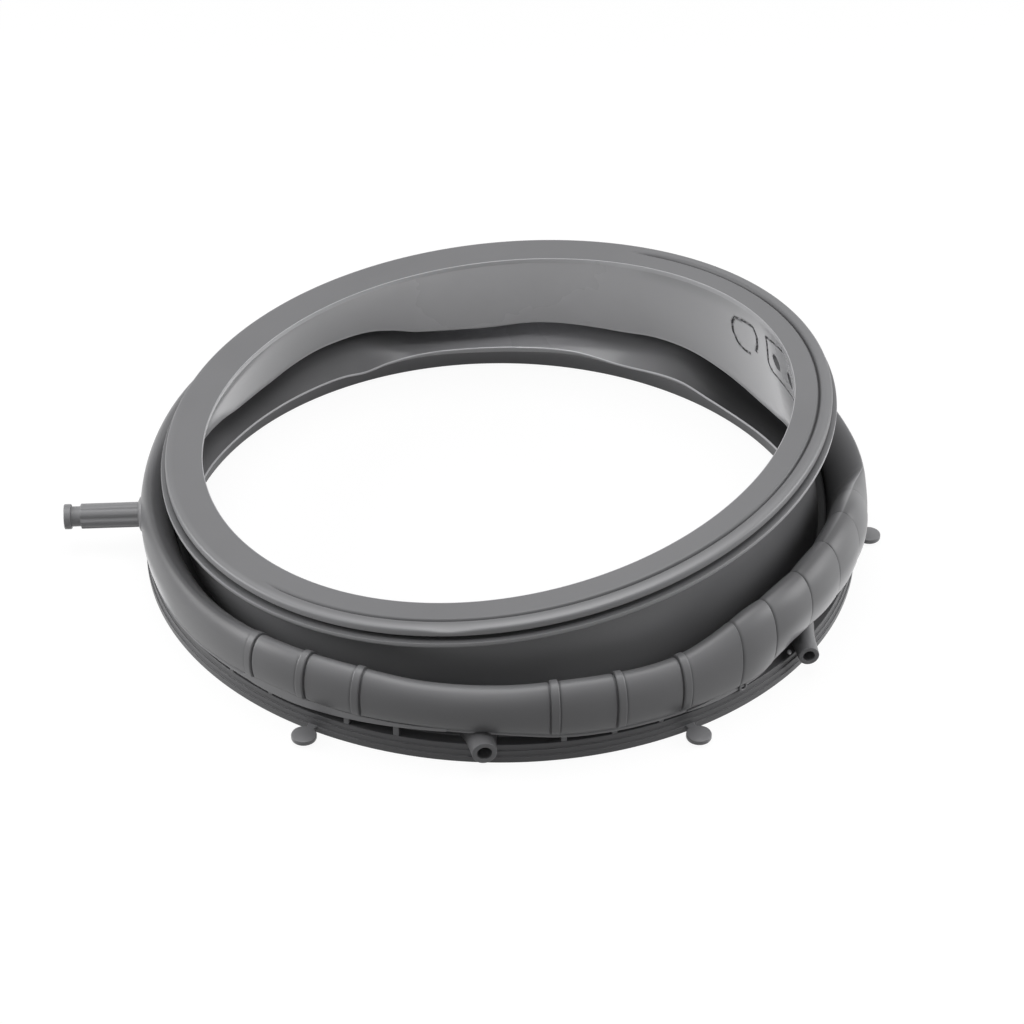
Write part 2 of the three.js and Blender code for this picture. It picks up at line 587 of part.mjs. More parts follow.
// The finished moulding as one solid
function sealSolid() {
  const raised = [
    pipeSolid(),
    nozzleSolid(FRONT_NOZZLE),
    nozzleSolid(SIDE_NOZZLE),
    ...TAB_AZIMUTHS.map(tabSolid),
    ...POST_AZIMUTHS.map(postSolid),
    ...[STRAPS, STEPS].flatMap((band) => band.azimuths.map((azimuth) => bandSolid(azimuth, band))),
    ringMarkSolid(),
    padSolid(),
  ];
  const cuts = [
    pipeBoreSolid(),
    nozzleBoreSolid(FRONT_NOZZLE),
    nozzleBoreSolid(SIDE_NOZZLE),
    ...PAD_HOLE_AZIMUTHS.map(padHoleSolid),
  ];
  const whole = raised.reduce((seal, piece) => seal.add(piece), ringSolid());
  return cuts.reduce((seal, cut) => seal.subtract(cut), whole);
}

// The solid as one mesh, standing centred on the origin
function sealMesh() {
  const { vertProperties, triVerts } = sealSolid().getMesh();
  const geometry = new THREE.BufferGeometry();
  geometry.setAttribute('position', new THREE.BufferAttribute(vertProperties, 3));
  geometry.setIndex(new THREE.BufferAttribute(triVerts, 1));
  geometry.computeBoundingBox();
  const centre = geometry.boundingBox.getCenter(new THREE.Vector3());
  geometry.translate(-centre.x, -centre.y, -geometry.boundingBox.min.z);
  geometry.computeVertexNormals();
  const mesh = new THREE.Mesh(geometry, new THREE.MeshStandardMaterial(RUBBER));
  mesh.name = 'door_seal';
  return mesh;
}

const group = new THREE.Group();
group.add(sealMesh());

export default group;
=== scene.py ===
"""Washing machine door seal: one grey rubber moulding, a bellows ring between the tub's mouth and the cabinet.

Every shape is worked out about the ring's own axis in millimetres: radius and azimuth in plan, height over the
tub face. Azimuth 0 is the side where the door lip stands highest and azimuths grow anticlockwise seen from above.
"""

import logging
from dataclasses import dataclass, field
from enum import Enum
from typing import ClassVar

import bpy
import numpy as np
from mathutils import Matrix, Vector

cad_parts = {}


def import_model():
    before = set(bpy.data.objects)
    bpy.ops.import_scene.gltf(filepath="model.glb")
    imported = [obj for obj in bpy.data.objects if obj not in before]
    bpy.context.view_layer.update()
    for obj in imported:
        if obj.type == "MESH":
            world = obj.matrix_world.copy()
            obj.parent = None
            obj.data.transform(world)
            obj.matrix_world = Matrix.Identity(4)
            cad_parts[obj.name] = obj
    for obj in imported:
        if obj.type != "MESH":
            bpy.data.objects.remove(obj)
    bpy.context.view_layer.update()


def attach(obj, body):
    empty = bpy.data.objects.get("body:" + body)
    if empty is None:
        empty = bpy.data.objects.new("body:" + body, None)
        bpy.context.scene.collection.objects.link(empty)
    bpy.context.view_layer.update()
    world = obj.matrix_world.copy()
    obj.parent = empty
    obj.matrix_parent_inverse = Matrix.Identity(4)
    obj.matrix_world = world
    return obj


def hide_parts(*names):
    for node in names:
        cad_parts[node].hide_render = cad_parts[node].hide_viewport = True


LOG = logging.getLogger("door_seal")
MM = 0.001
CAD_NODE = "door_seal"
TINY = 1e-9
SHARP_ANGLE = 40.0

# Rounded corners: points on the curve, all points of a corner, the most that a rounding takes of an edge, and how
# far out the two points lie that hold the flat beside it, as a share of the rounding.
CORNER_STEPS = 5
PER_CORNER = CORNER_STEPS + 2
CORNER_LIMIT = 0.42
CORNER_HOLD = 1.18

# Points along the outlines' curved stretches.
FLANK_POINTS = 9
CREST_POINTS = 18
HOLLOW_POINTS = 8
OUTSIDE_POINTS = 15
INSIDE_POINTS = 28
GROOVE_POINTS = 17

# Columns beside a moulded line, in millimetres from it, and how close columns may come, in degrees.
LINE_OFFSETS = np.array([-2.4, -1.5, -0.9, -0.5, -0.2, 0.0, 0.2, 0.5, 0.9, 1.5, 2.4])
LINE_CLEARANCE = 0.25
LEAST_GAP = 0.02

# Weights that smooth a line's path over its neighbours.
PATH_WEIGHTS = np.array([1.0, 2.0, 3.0, 2.0, 1.0]) / 9.0

# A corner of an outline: its radius, height and rounding.
Corner = tuple[np.ndarray | float, np.ndarray | float, float]


# ---------------------------------------------------------------------------
# Shared maths
# ---------------------------------------------------------------------------


def smooth(value: np.ndarray) -> np.ndarray:
    """Eases 0 to 1 with level ends: 3 v squared minus 2 v cubed."""
    share = np.clip(value, 0.0, 1.0)
    return share * share * (3.0 - 2.0 * share)


def turn_between(azimuth: np.ndarray, centre: float) -> np.ndarray:
    """Signed turn in degrees from centre to azimuth, within half a circle either way."""
    return (np.asarray(azimuth, float) - centre + 180.0) % 360.0 - 180.0


def bell(azimuth: np.ndarray, centre: float, spread: float) -> np.ndarray:
    """A soft hump of height 1 round the ring: e to the minus square of the turn over the spread."""
    return np.exp(-((turn_between(azimuth, centre) / spread) ** 2))


def window(azimuth: np.ndarray, start: float, end: float, fade: float) -> np.ndarray:
    """1 from azimuth start to end and 0 outside, eased over fade degrees inside both ends."""
    turn = (np.asarray(azimuth, float) - start) % 360.0
    length = (end - start) % 360.0
    return smooth(turn / fade) * smooth((length - turn) / fade) * (turn <= length)


def lerp(first: np.ndarray, last: np.ndarray, share: np.ndarray) -> np.ndarray:
    """Straight mix of two values."""
    return first + (last - first) * share


def column(values: np.ndarray) -> np.ndarray:
    """Turns one value per azimuth into a column, so that it spreads over a row of outline points."""
    return np.asarray(values, float)[:, None]


def pairs(radius: np.ndarray, height: np.ndarray) -> np.ndarray:
    """Stacks radii and heights into outline points of shape (azimuths, points, 2)."""
    radius, height = np.broadcast_arrays(radius, height)
    return np.stack([radius, height], axis=-1)


@dataclass(frozen=True)
class Hump:
    """A soft hump by angle, in degrees: its middle, its spread and its height."""

    centre: float
    spread: float
    height: float = 1.0

    def at(self, angle: np.ndarray) -> np.ndarray:
        """The hump's value at the angles."""
        return self.height * bell(angle, self.centre, self.spread)


@dataclass(frozen=True)
class Stretch:
    """An even stretch by angle, in degrees: its ends, their fade and its height."""

    start: float
    end: float
    fade: float
    height: float = 1.0

    def at(self, angle: np.ndarray) -> np.ndarray:
        """The stretch's value at the angles."""
        return self.height * window(angle, self.start, self.end, self.fade)


def total(azimuth: np.ndarray, *marks: Hump | Stretch) -> np.ndarray:
    """Humps and stretches added up at the azimuths, as a column for a row of outline points."""
    return column(sum(mark.at(azimuth) for mark in marks))


def around(azimuth: np.ndarray, outline: np.ndarray) -> np.ndarray:
    """Outline points (radius, height), a row for each azimuth, as points in space."""
    turn = column(np.radians(azimuth))
    radius, height = outline[..., 0], outline[..., 1]
    return np.stack([radius * np.cos(turn), radius * np.sin(turn), height], axis=-1)


def ellipse_arc(
    centre: tuple[np.ndarray, np.ndarray],
    half: tuple[np.ndarray, np.ndarray],
    angles: tuple[float, float],
    count: int,
    slant: np.ndarray | None = None,
) -> np.ndarray:
    """Points on an ellipse's outline, one row for each azimuth.

    Args:
        centre: The centre's radius and height for each azimuth.
        half: Half the ellipse's width and height for each azimuth.
        angles: The first and last angle in degrees, from the outward direction up.
        count: How many points.
        slant: The power of cosine and sine for each azimuth: 1 keeps the ellipse and 2 makes a straight slope of it.

    Returns:
        Points of shape (azimuths, count, 2): centre plus half size times the powers of cosine and sine.
    """
    angle = np.radians(np.linspace(*angles, count))[None, :]
    power = column(np.ones_like(centre[0]) if slant is None else slant)
    axes = [np.sign(wave) * np.abs(wave) ** power for wave in (np.cos(angle), np.sin(angle))]
    return pairs(*(column(middle) + column(size) * axis for middle, size, axis in zip(centre, half, axes)))


def soften(corners: np.ndarray, rounding: list[float]) -> np.ndarray:
    """Rounds the corners of a closed outline.

    Each corner becomes a quadratic curve between two points that lie its rounding along both edges, and never more
    than the limit's share of them. Two more points hold the flat just before and after it.

    Args:
        corners: Outline corners of shape (azimuths, corners, 2), in order round the outline.
        rounding: The rounding of each corner in millimetres.

    Returns:
        Outline points of shape (azimuths, corners times points for each corner, 2).
    """
    reach = np.asarray(rounding, float)[None, :, None]
    ends, holds = [], []
    for step in (1, -1):
        side = np.roll(corners, step, axis=1) - corners
        size = np.linalg.norm(side, axis=-1, keepdims=True)
        cut = side / np.maximum(size, TINY) * np.minimum(reach, CORNER_LIMIT * size)
        ends.append((corners + cut)[:, :, None])
        holds.append((corners + cut * CORNER_HOLD)[:, :, None])
    share = np.linspace(0.0, 1.0, CORNER_STEPS)[None, None, :, None]
    curve = (1 - share) ** 2 * ends[0] + 2 * share * (1 - share) * corners[:, :, None] + share**2 * ends[1]
    return np.concatenate([holds[0], curve, holds[1]], axis=2).reshape(len(corners), -1, 2)


def softened(groups: list[list[Corner]], count: int) -> list[np.ndarray]:
    """Rounds the corners of one closed outline that is written as groups of corners.

    Args:
        groups: Groups of corners in order, each corner with its radius, height and rounding.
        count: Number of azimuths.

    Returns:
        The outline's points of shape (azimuths, points, 2), group by group.
    """
    rows = [corner for group in groups for corner in group]
    places = [[np.broadcast_to(radius, count), np.broadcast_to(height, count)] for radius, height, _ in rows]
    soft = soften(np.moveaxis(np.array(places, float), 2, 0), [rounding for _, _, rounding in rows])
    return np.split(soft, np.cumsum([len(group) * PER_CORNER for group in groups])[:-1], axis=1)


def strung(stretches: list[np.ndarray]) -> tuple[np.ndarray, list[slice]]:
    """Joins an outline's stretches, and says where each of them lies in it."""
    ends = np.cumsum([0] + [stretch.shape[1] for stretch in stretches])
    return np.concatenate(stretches, axis=1), [slice(*pair) for pair in zip(ends[:-1], ends[1:])]


def outline_normals(outline: np.ndarray) -> np.ndarray:
    """Outward normals of closed outlines: the neighbours' difference turned a quarter clockwise."""
    along = np.roll(outline, -1, axis=1) - np.roll(outline, 1, axis=1)
    normal = np.stack([along[..., 1], -along[..., 0]], axis=-1)
    return normal / np.maximum(np.linalg.norm(normal, axis=-1, keepdims=True), 1e-9)


# ---------------------------------------------------------------------------
# Meshes
# ---------------------------------------------------------------------------


class Shade(Enum):
    """Attributes on the meshes that paint light and shade into the rubber's colour.

    The first is painted light on the drum side, the hollow, the roll's flanks, the tabs and the pip, with real
    gloss from a clear coat and lower roughness. The second is painted highlights above 0 and painted shade below 0
    round the ring, and an even lighter tone on the side pipe and the skirt strips. It also raises or lowers the
    specular level.
    """

    PAINTED_LIGHT_AND_GLOSS = "painted_light_and_gloss"
    PAINTED_LIGHT_SHADE_AND_TONE = "edge"


@dataclass(frozen=True)
class RingFrame:
    """Where the ring's axis stands in the row frame, in metres."""

    x: float
    y: float
    base: float

    def place(self, points: np.ndarray) -> np.ndarray:
        """Turns points in millimetres about the ring's axis into metres in the row frame."""
        return np.asarray(points, float) * MM + np.array([self.x, self.y, self.base])


def ring_frame() -> RingFrame:
    """Finds the ring's axis: the middle of the CAD part's lowest vertices, which are the round tub face."""
    node = bpy.data.objects[CAD_NODE]
    points = np.empty(len(node.data.vertices) * 3)
    node.data.vertices.foreach_get("co", points)
    points = points.reshape(-1, 3) @ np.array(node.matrix_world.to_3x3()).T
    base = points[:, 2].min()
    foot = points[points[:, 2] < base + 1e-5]
    centre = (foot.min(0) + foot.max(0)) / 2
    return RingFrame(float(centre[0]), float(centre[1]), float(base))


def linked(name: str, data: bpy.types.ID) -> bpy.types.Object:
    """Makes an object that shows the data and links it to the scene."""
    made = bpy.data.objects.new(name, data)
    bpy.context.scene.collection.objects.link(made)
    return made


def make_object(name: str, points: np.ndarray, faces: list, frame: RingFrame) -> bpy.types.Object:
    """Makes a smooth-shaded mesh object at the origin from points in millimetres.

    Args:
        name: The piece's name.
        points: Points of shape (n, 3) about the ring's axis.
        faces: Corner numbers of each face.
        frame: The ring's place in the row frame.

    Returns:
        The new object, linked to the scene.
    """
    mesh = bpy.data.meshes.new(name)
    mesh.from_pydata(frame.place(points).tolist(), [], faces)
    mesh.polygons.foreach_set("use_smooth", np.ones(len(mesh.polygons), bool))
    mesh.update()
    return linked(name, mesh)


def grid_faces(rows: int, columns: int, wrap_rows: bool, wrap_columns: bool) -> np.ndarray:
    """Quads of a grid whose points are numbered row by row, closed round either way if asked."""
    row = np.arange(rows if wrap_rows else rows - 1)[:, None]
    col = np.arange(columns if wrap_columns else columns - 1)[None, :]
    next_row, next_col = (row + 1) % rows, (col + 1) % columns
    quads = [row * columns + col, next_row * columns + col, next_row * columns + next_col, row * columns + next_col]
    return np.stack(np.broadcast_arrays(*quads), axis=-1).reshape(-1, 4)


def paint(piece: bpy.types.Object, shades: dict[Shade, np.ndarray]) -> None:
    """Gives a mesh its painted light and shade attributes, each with one value for every vertex."""
    for shade, values in shades.items():
        attribute = piece.data.attributes.new(shade.value, "FLOAT", "POINT")
        attribute.data.foreach_set("value", np.asarray(values, np.float32).ravel())


def torus_object(
    name: str, points: np.ndarray, frame: RingFrame, shades: dict[Shade, np.ndarray]
) -> bpy.types.Object:
    """Makes a closed ring of closed outlines.

    Args:
        name: The piece's name.
        points: Points of shape (azimuths, outline points, 3).
        frame: The ring's place in the row frame.
        shades: The painted light and shade attributes, each of shape (azimuths, outline points).

    Returns:
        The new object.
    """
    rows, columns, _ = points.shape
    faces = grid_faces(rows, columns, True, True)
    made = make_object(name, points.reshape(-1, 3), faces.tolist(), frame)
    paint(made, shades)
    return made


def loft_data(rings: np.ndarray) -> tuple[np.ndarray, list]:
    """Skins a row of closed rings and caps both ends with flat faces.

    Args:
        rings: Points of shape (rings, points, 3). Seen along the row, each ring runs clockwise.

    Returns:
        The points of shape (n, 3) and the faces, which look outwards.
    """
    rows, columns, _ = rings.shape
    faces = grid_faces(rows, columns, False, True).tolist()
    faces.append(list(range(columns)))
    faces.append(list(range(rows * columns - 1, (rows - 1) * columns - 1, -1)))
    return rings.reshape(-1, 3), faces


def join_data(parts: list[tuple[np.ndarray, list]]) -> tuple[np.ndarray, list]:
    """Puts several meshes' points and faces into one."""
    points = np.concatenate([part[0] for part in parts])
    faces, start = [], 0
    for part_points, part_faces in parts:
        faces.extend([[start + corner for corner in face] for face in part_faces])
        start += len(part_points)
    return points, faces


def cut_away(piece: bpy.types.Object, cutter: bpy.types.Object) -> bpy.types.Object:
    """Cuts one object out of another for good, and takes the cutter away."""
    modifier = piece.modifiers.new("cut", "BOOLEAN")
    modifier.operation = "DIFFERENCE"
    modifier.solver = "EXACT"
    modifier.object = cutter
    bpy.context.view_layer.update()
    shape = piece.evaluated_get(bpy.context.evaluated_depsgraph_get())
    mesh = bpy.data.meshes.new_from_object(shape)
    piece.modifiers.clear()
    piece.data = mesh
    bpy.data.objects.remove(cutter)
    return piece


def at_azimuth(points: np.ndarray, azimuth: float) -> np.ndarray:
    """Turns points built along +X to an azimuth of the ring."""
    angle = np.radians(azimuth)
    turn = np.array([[np.cos(angle), np.sin(angle), 0], [-np.sin(angle), np.cos(angle), 0], [0, 0, 1]])
    return points @ turn


# ---------------------------------------------------------------------------
# The ring's section all the way round
# ---------------------------------------------------------------------------


@dataclass(frozen=True)
class Wall:
    """Wall thickness and the small roundings that every edge of the moulding shares."""

    thickness: float = 2.8
    crisp: float = 0.3
    fine_edge: float = 0.35
    edge: float = 0.7
    fillet: float = 1.6


@dataclass(frozen=True)
class FlangeSizes:
    """The thick ring that is clamped to the tub, with the clamp groove above it."""

    outer: float = 215.0
    inner: float = 192.0
    height: float = 11.4
    ledge: float = 0.9
    low_ledge: float = 4.0
    high_ledge: float = 7.7
    groove_depth: float = 9.0
    skirt_thickness: float = 4.6
    crease_inset: float = 1.1
    hollow_floor: float = 17.6
    drum_lip_root: float = 9.6


@dataclass(frozen=True)
class LipSizes:
    """The door lip: a flat ring face on a rim with a bead below its band slot."""

    foot_radius: float = 189.2
    head_radius: float = 175.2
    bulge_power: float = 0.88
    edge_height: float = 2.6
    inner: float = 175.0
    rim: float = 197.4
    shift_x: float = -2.5
    height: float = 88.6
    rise: float = 23.2
    back_rise: float = 2.6
    saddle: float = 3.0
    saddle_turn: float = 18.0
    rim_drop: float = 0.25
    rim_twist: float = 2.05
    thickness: float = 11.0
    underside_fillet: float = 2.4
    outside_gap: float = 3.6
    bead_radius: float = 200.2
    bead_height: float = 3.8
    slot_height: float = 2.9
    slot_depth: float = 4.4
    rim_rounding: float = 2.0
    scoop: Hump = Hump(262.6, 3.6, 1.5)
    groove_radius: float = 189.6
    groove_width: float = 2.7
    groove_depth: float = 1.6
    groove_step: float = 0.45
    groove_run: Stretch = Stretch(226.0, 64.0, 7.0)


def ring_cubic(azimuth: np.ndarray, place: tuple, value: tuple) -> np.ndarray:
    """Follows stations round the ring with a cubic that keeps each station's mean slope.

    Args:
        azimuth: Azimuths in degrees.
        place: The stations' azimuths, rising from 0.
        value: The value at each station.

    Returns:
        The value at each azimuth, closed round the ring.
    """
    place, value = np.array(place, float), np.array(value, float)
    wide = np.concatenate([place[-2:] - 360.0, place, place[:2] + 360.0])
    tall = np.concatenate([value[-2:], value, value[:2]])
    slope = (tall[2:] - tall[:-2]) / (wide[2:] - wide[:-2])
    wide, tall = wide[1:-1], tall[1:-1]
    turn = np.asarray(azimuth, float) % 360.0
    index = np.clip(np.searchsorted(wide, turn, side="right") - 1, 0, len(wide) - 2)
    span = wide[index + 1] - wide[index]
    t = (turn - wide[index]) / span
    start = (2 * t**3 - 3 * t**2 + 1) * tall[index] + (t**3 - 2 * t**2 + t) * span * slope[index]
    end = (3 * t**2 - 2 * t**3) * tall[index + 1] + (t**3 - t**2) * span * slope[index + 1]
    return start + end


@dataclass(frozen=True)
class RollStations:
    """The roll round the ring by azimuth.

    The rows are the heights of its skirt, crease and crest, its outer and inner radii, and how far the crest lies
    inside the outer radius. The skirt with its crease, and the channel's floor, have stations of their own.
    """

    azimuth: tuple = (
        0, 15, 60, 110, 150, 180, 210, 222, 235, 247, 258, 270, 281, 298, 310, 320, 331, 344, 352, 356, 358.6,
    )
    skirt_azimuth: tuple = (
        0, 15, 60, 110, 150, 180, 210, 222, 235, 247, 258, 270, 281, 298, 304, 310, 314, 317, 320, 331, 344, 352, 358.6,
    )
    skirt: tuple = (
        18.5, 18, 17.5, 16, 14, 13, 12.8, 14.6, 15.4, 17.5, 20.3, 19.4, 15.0, 13.8, 13.3, 13.6, 15.5, 20.5, 24, 22.4,
        20, 19, 18.6,
    )
    crease: tuple = (
        20, 19.5, 19, 17.5, 15.5, 14.5, 14.3, 17, 20.5, 21.2, 22.3, 21.2, 17.2, 16.2, 15.8, 16.4, 18.6, 23.3, 26.5, 25,
        22, 20.5, 20.1,
    )
    crest: tuple = (
        52, 49, 48, 49, 54, 47, 43, 44.5, 48, 49.5, 48, 48.5, 50, 49.5, 59, 63, 65, 63, 57, 54.6, 53,
    )
    outer: tuple = (
        219.5, 219, 218, 217, 218, 217, 216, 216.5, 217.5, 217.5, 217.5, 218, 218, 218, 219, 220, 220, 220.5, 220.5,
        220.2, 219.8,
    )
    inner: tuple = (
        197, 198.5, 200, 199, 200, 198, 196.5, 197, 198, 198.5, 198.5, 198.5, 198.5, 198, 197, 196.5, 196, 196, 196.5,
        196.8, 197,
    )
    top: tuple = (
        2.2, 2.2, 2.4, 5, 7.5, 6.8, 6.8, 7.6, 8.8, 9.3, 9.3, 9.5, 9.5, 9.8, 10.8, 11.5, 11.5, 11.5, 10, 6.2, 3,
    )
    channel_azimuth: tuple = (
        0, 20, 26, 32, 42, 50, 58, 66, 82, 94, 106, 112, 117, 124, 129, 135, 141, 150, 157, 167, 180, 210, 235, 270,
        298, 310, 320, 331, 344, 352,
    )
    channel_height: tuple = (
        27, 36.5, 35, 35, 39, 42, 42, 39, 37, 31.5, 33, 38, 41, 41, 40, 37, 33.5, 32, 35, 37, 27, 23, 24, 26,
        26, 26, 26, 25, 24, 24,
    )

    def at(self, name: str, azimuth: np.ndarray) -> np.ndarray:
        """One of the roll's values at the azimuths.

        Args:
            name: The row, such as "crest", or "channel" for the channel's floor.
            azimuth: Azimuths in degrees.

        Returns:
            The value at each azimuth.
        """
        if name == "channel":
            return ring_cubic(azimuth, self.channel_azimuth, self.channel_height)
        stations = self.skirt_azimuth if name in ("skirt", "crease") else self.azimuth
        return ring_cubic(azimuth, stations, getattr(self, name))


@dataclass(frozen=True)
class DrumLip:
    """The thin free edge at the drum side: its height and thickness by azimuth, as the soft edge hangs."""

    azimuth: tuple = (0, 20, 36, 44, 52, 65, 75, 86, 94, 106, 113, 118, 123, 131, 142, 155, 168, 200, 270, 330)
    top: tuple = (
        14.5, 14.5, 12.3, 13, 16, 13.8, 17.2, 17, 16.4, 15.6, 13.4, 10.8, 12.4, 12.6, 12.6, 13, 15.6, 15, 15, 15,
    )
    thin: float = 1.3
    swelling: Hump = Hump(91.0, 15.0, 2.1)
    reach: float = 5.4

    def top_at(self, azimuth: np.ndarray) -> np.ndarray:
        """Height of the edge's upper side at the azimuths."""
        return ring_cubic(azimuth, self.azimuth, self.top)

    def thickness_at(self, azimuth: np.ndarray) -> np.ndarray:
        """Thickness of the edge: thin all round, and thicker at the back by its swelling."""
        return self.thin + self.swelling.at(azimuth)


@dataclass(frozen=True)
class RollBand:
    """A moulded line across the roll: a raised strap, or a step where one stretch of the roll ends."""

    azimuth: float
    width: float = 0.0
    height: float = 0.0
    left_line: float = 0.0
    right_line: float = 0.0
    step: float = 0.0
    line_offset: float = 0.3
    line_spread: float = 0.45
    side: float = 0.5
    step_reach: float = 9.0
    step_side: float = 0.8

    def relief(self, azimuth: np.ndarray, radius: float) -> np.ndarray:
        """Height of the band over the roll's surface.

        A strap is a plateau with soft sides; a line is a narrow dip, e to the minus square of the distance over its
        spread; a step is a rise that grows towards its line from the side it belongs to and ends there.

        Args:
            azimuth: Azimuths in degrees.
            radius: Radius at which the band's width is measured.

        Returns:
            Relief in millimetres for each azimuth.
        """
        along = np.radians(turn_between(azimuth, self.azimuth)) * radius
        half = self.width / 2
        relief = self.height * smooth((half - np.abs(along)) / self.side + 0.5)
        for line, place in ((self.left_line, -half - self.line_offset), (self.right_line, half + self.line_offset)):
            relief -= line * np.exp(-(((along - place) / self.line_spread) ** 2))
        rise = np.exp(np.minimum(along - half, 0.0) / self.step_reach)
        return relief + self.step * rise * smooth((half - along) / self.step_side + 0.5)


BANDS = (
    RollBand(229.2, width=4.8, height=0.45, left_line=0.15, right_line=0.9, step=0.3),
    RollBand(239.1, width=4.8, height=1.15, left_line=0.45, right_line=0.9),
    RollBand(248.3, width=4.8, height=0.95, left_line=0.5, right_line=0.75),
    RollBand(278.0, width=4.8, height=1.05, left_line=0.75, right_line=0.75),
    RollBand(288.0, width=4.8, height=1.05, left_line=0.75, right_line=0.65),
    RollBand(298.5, width=4.8, height=0.9, left_line=1.0, right_line=0.4),
    RollBand(308.2, right_line=0.9, step=0.5),
    RollBand(314.9, right_line=0.9, step=0.5),
    RollBand(323.3, right_line=0.9, step=0.6),
    RollBand(332.3, right_line=1.1, step=0.6),
    RollBand(341.5, right_line=1.15, step=0.6),
    RollBand(350.2, right_line=1.1, step=0.6),
)


@dataclass(frozen=True)
class OuterShades:
    """Painted light and shade on the flange, skirt, roll and drum lip: painted highlights and reflections where a
    stretch is lighter, painted shade where it is darker.

    The flank's painted reflection and gloss fades out towards the crest over flank_fade points. The crest's painted
    light and shade fades to both sides, by e to the minus square of the distance over its spread.
    """

    # Painted light on the hollow's sheet at the back, and painted shade in it at the right and in its folds.
    hollow_light_and_gloss: Hump = Hump(86.0, 22.0, 1.2)
    hollow_painted_shade: tuple[Hump, ...] = (Hump(12.0, 32.0, -0.78), Hump(142.0, 26.0, -0.4), Hump(44.0, 16.0, -0.4))
    # Painted highlights on the drum lip's tip and on the face beside it.
    tip_highlight: float = 2.0
    tip_face_highlight: float = 1.1
    # Painted shade on the flange, and a painted highlight along the skirt's edge.
    flange_painted_shade: float = -0.22
    skirt_highlight: float = 0.5
    # Painted reflections on the roll's outer flanks at both sides, with real gloss from the clear coat.
    flank_reflection_and_gloss: tuple[Stretch, ...] = (Stretch(176.0, 210.0, 10.0, 0.7), Stretch(306.0, 356.0, 14.0, 0.42))
    # Painted light on the crest at the front, and painted shade on it at both sides.
    crest_light_and_shade: tuple[Stretch, ...] = (
        Stretch(232.0, 314.0, 12.0, 0.22),
        Stretch(172.0, 232.0, 12.0, -0.44),
        Stretch(314.0, 352.0, 12.0, -0.352),
    )
    crest_spread: float = 0.6
    crest_start: int = 15
    crest_points: int = 20
    flank_fade: float = 7.0
    # Painted light high on the roll's inner slope at the right, and painted shade deeper down it.
    slope: Hump = Hump(2.0, 22.0)
    slope_light_and_shade: tuple[float, float] = (1.3, -0.95)
    # Painted shade on the channel's floor.
    floor_painted_shade: float = -0.78

    def at(self, azimuth: np.ndarray, outline: np.ndarray, places: list[slice]) -> dict[Shade, np.ndarray]:
        """The painted light and shade on the outer ring's outline.

        Args:
            azimuth: Azimuths in degrees.
            outline: Points of shape (azimuths, points, 2).
            places: Where the body, roll, channel floor, hollow and drum lip lie in the outline.

        Returns:
            The painted light and shade, each of shape (azimuths, points).
        """
        _, roll, floor, _, inside = places
        # The first array is painted light with gloss; the second is painted highlights above 0 and painted shade below
        # 0.
        painted_light_and_gloss, edge = np.zeros(outline.shape[:2]), np.zeros(outline.shape[:2])
        tip = inside.stop - 3 * PER_CORNER
        hollow = slice(floor.start + 2 * PER_CORNER, tip)
        painted_light_and_gloss[:, hollow] = total(azimuth, self.hollow_light_and_gloss)
        edge[:, hollow] = total(azimuth, *self.hollow_painted_shade)
        edge[:, tip - 4 : tip + PER_CORNER - 1] = self.tip_highlight
        edge[:, tip + PER_CORNER - 1 : tip + 2 * PER_CORNER] = self.tip_face_highlight
        edge[:, : 8 * PER_CORNER] = self.flange_painted_shade
        edge[:, 10 * PER_CORNER : 11 * PER_CORNER] = self.skirt_highlight
        flank = FLANK_POINTS + 3
        climb = smooth((flank - np.arange(flank)) / self.flank_fade)[None, :]
        painted_light_and_gloss[:, roll.start : roll.start + flank] = total(azimuth, *self.flank_reflection_and_gloss) * climb
        over = np.exp(-((np.linspace(-1.0, 1.0, self.crest_points) / self.crest_spread) ** 2))[None, :]
        crest = roll.start + self.crest_start
        edge[:, crest : crest + self.crest_points] = total(azimuth, *self.crest_light_and_shade) * over
        depth = np.sqrt(np.linspace(0.0, 1.0, CREST_POINTS))[None, :]
        edge[:, roll.stop - CREST_POINTS : roll.stop] += lerp(*self.slope_light_and_shade, depth) * total(azimuth, self.slope)
        edge[:, floor.start : floor.start + 2 * PER_CORNER] = self.floor_painted_shade
        return {Shade.PAINTED_LIGHT_AND_GLOSS: painted_light_and_gloss, Shade.PAINTED_LIGHT_SHADE_AND_TONE: edge}


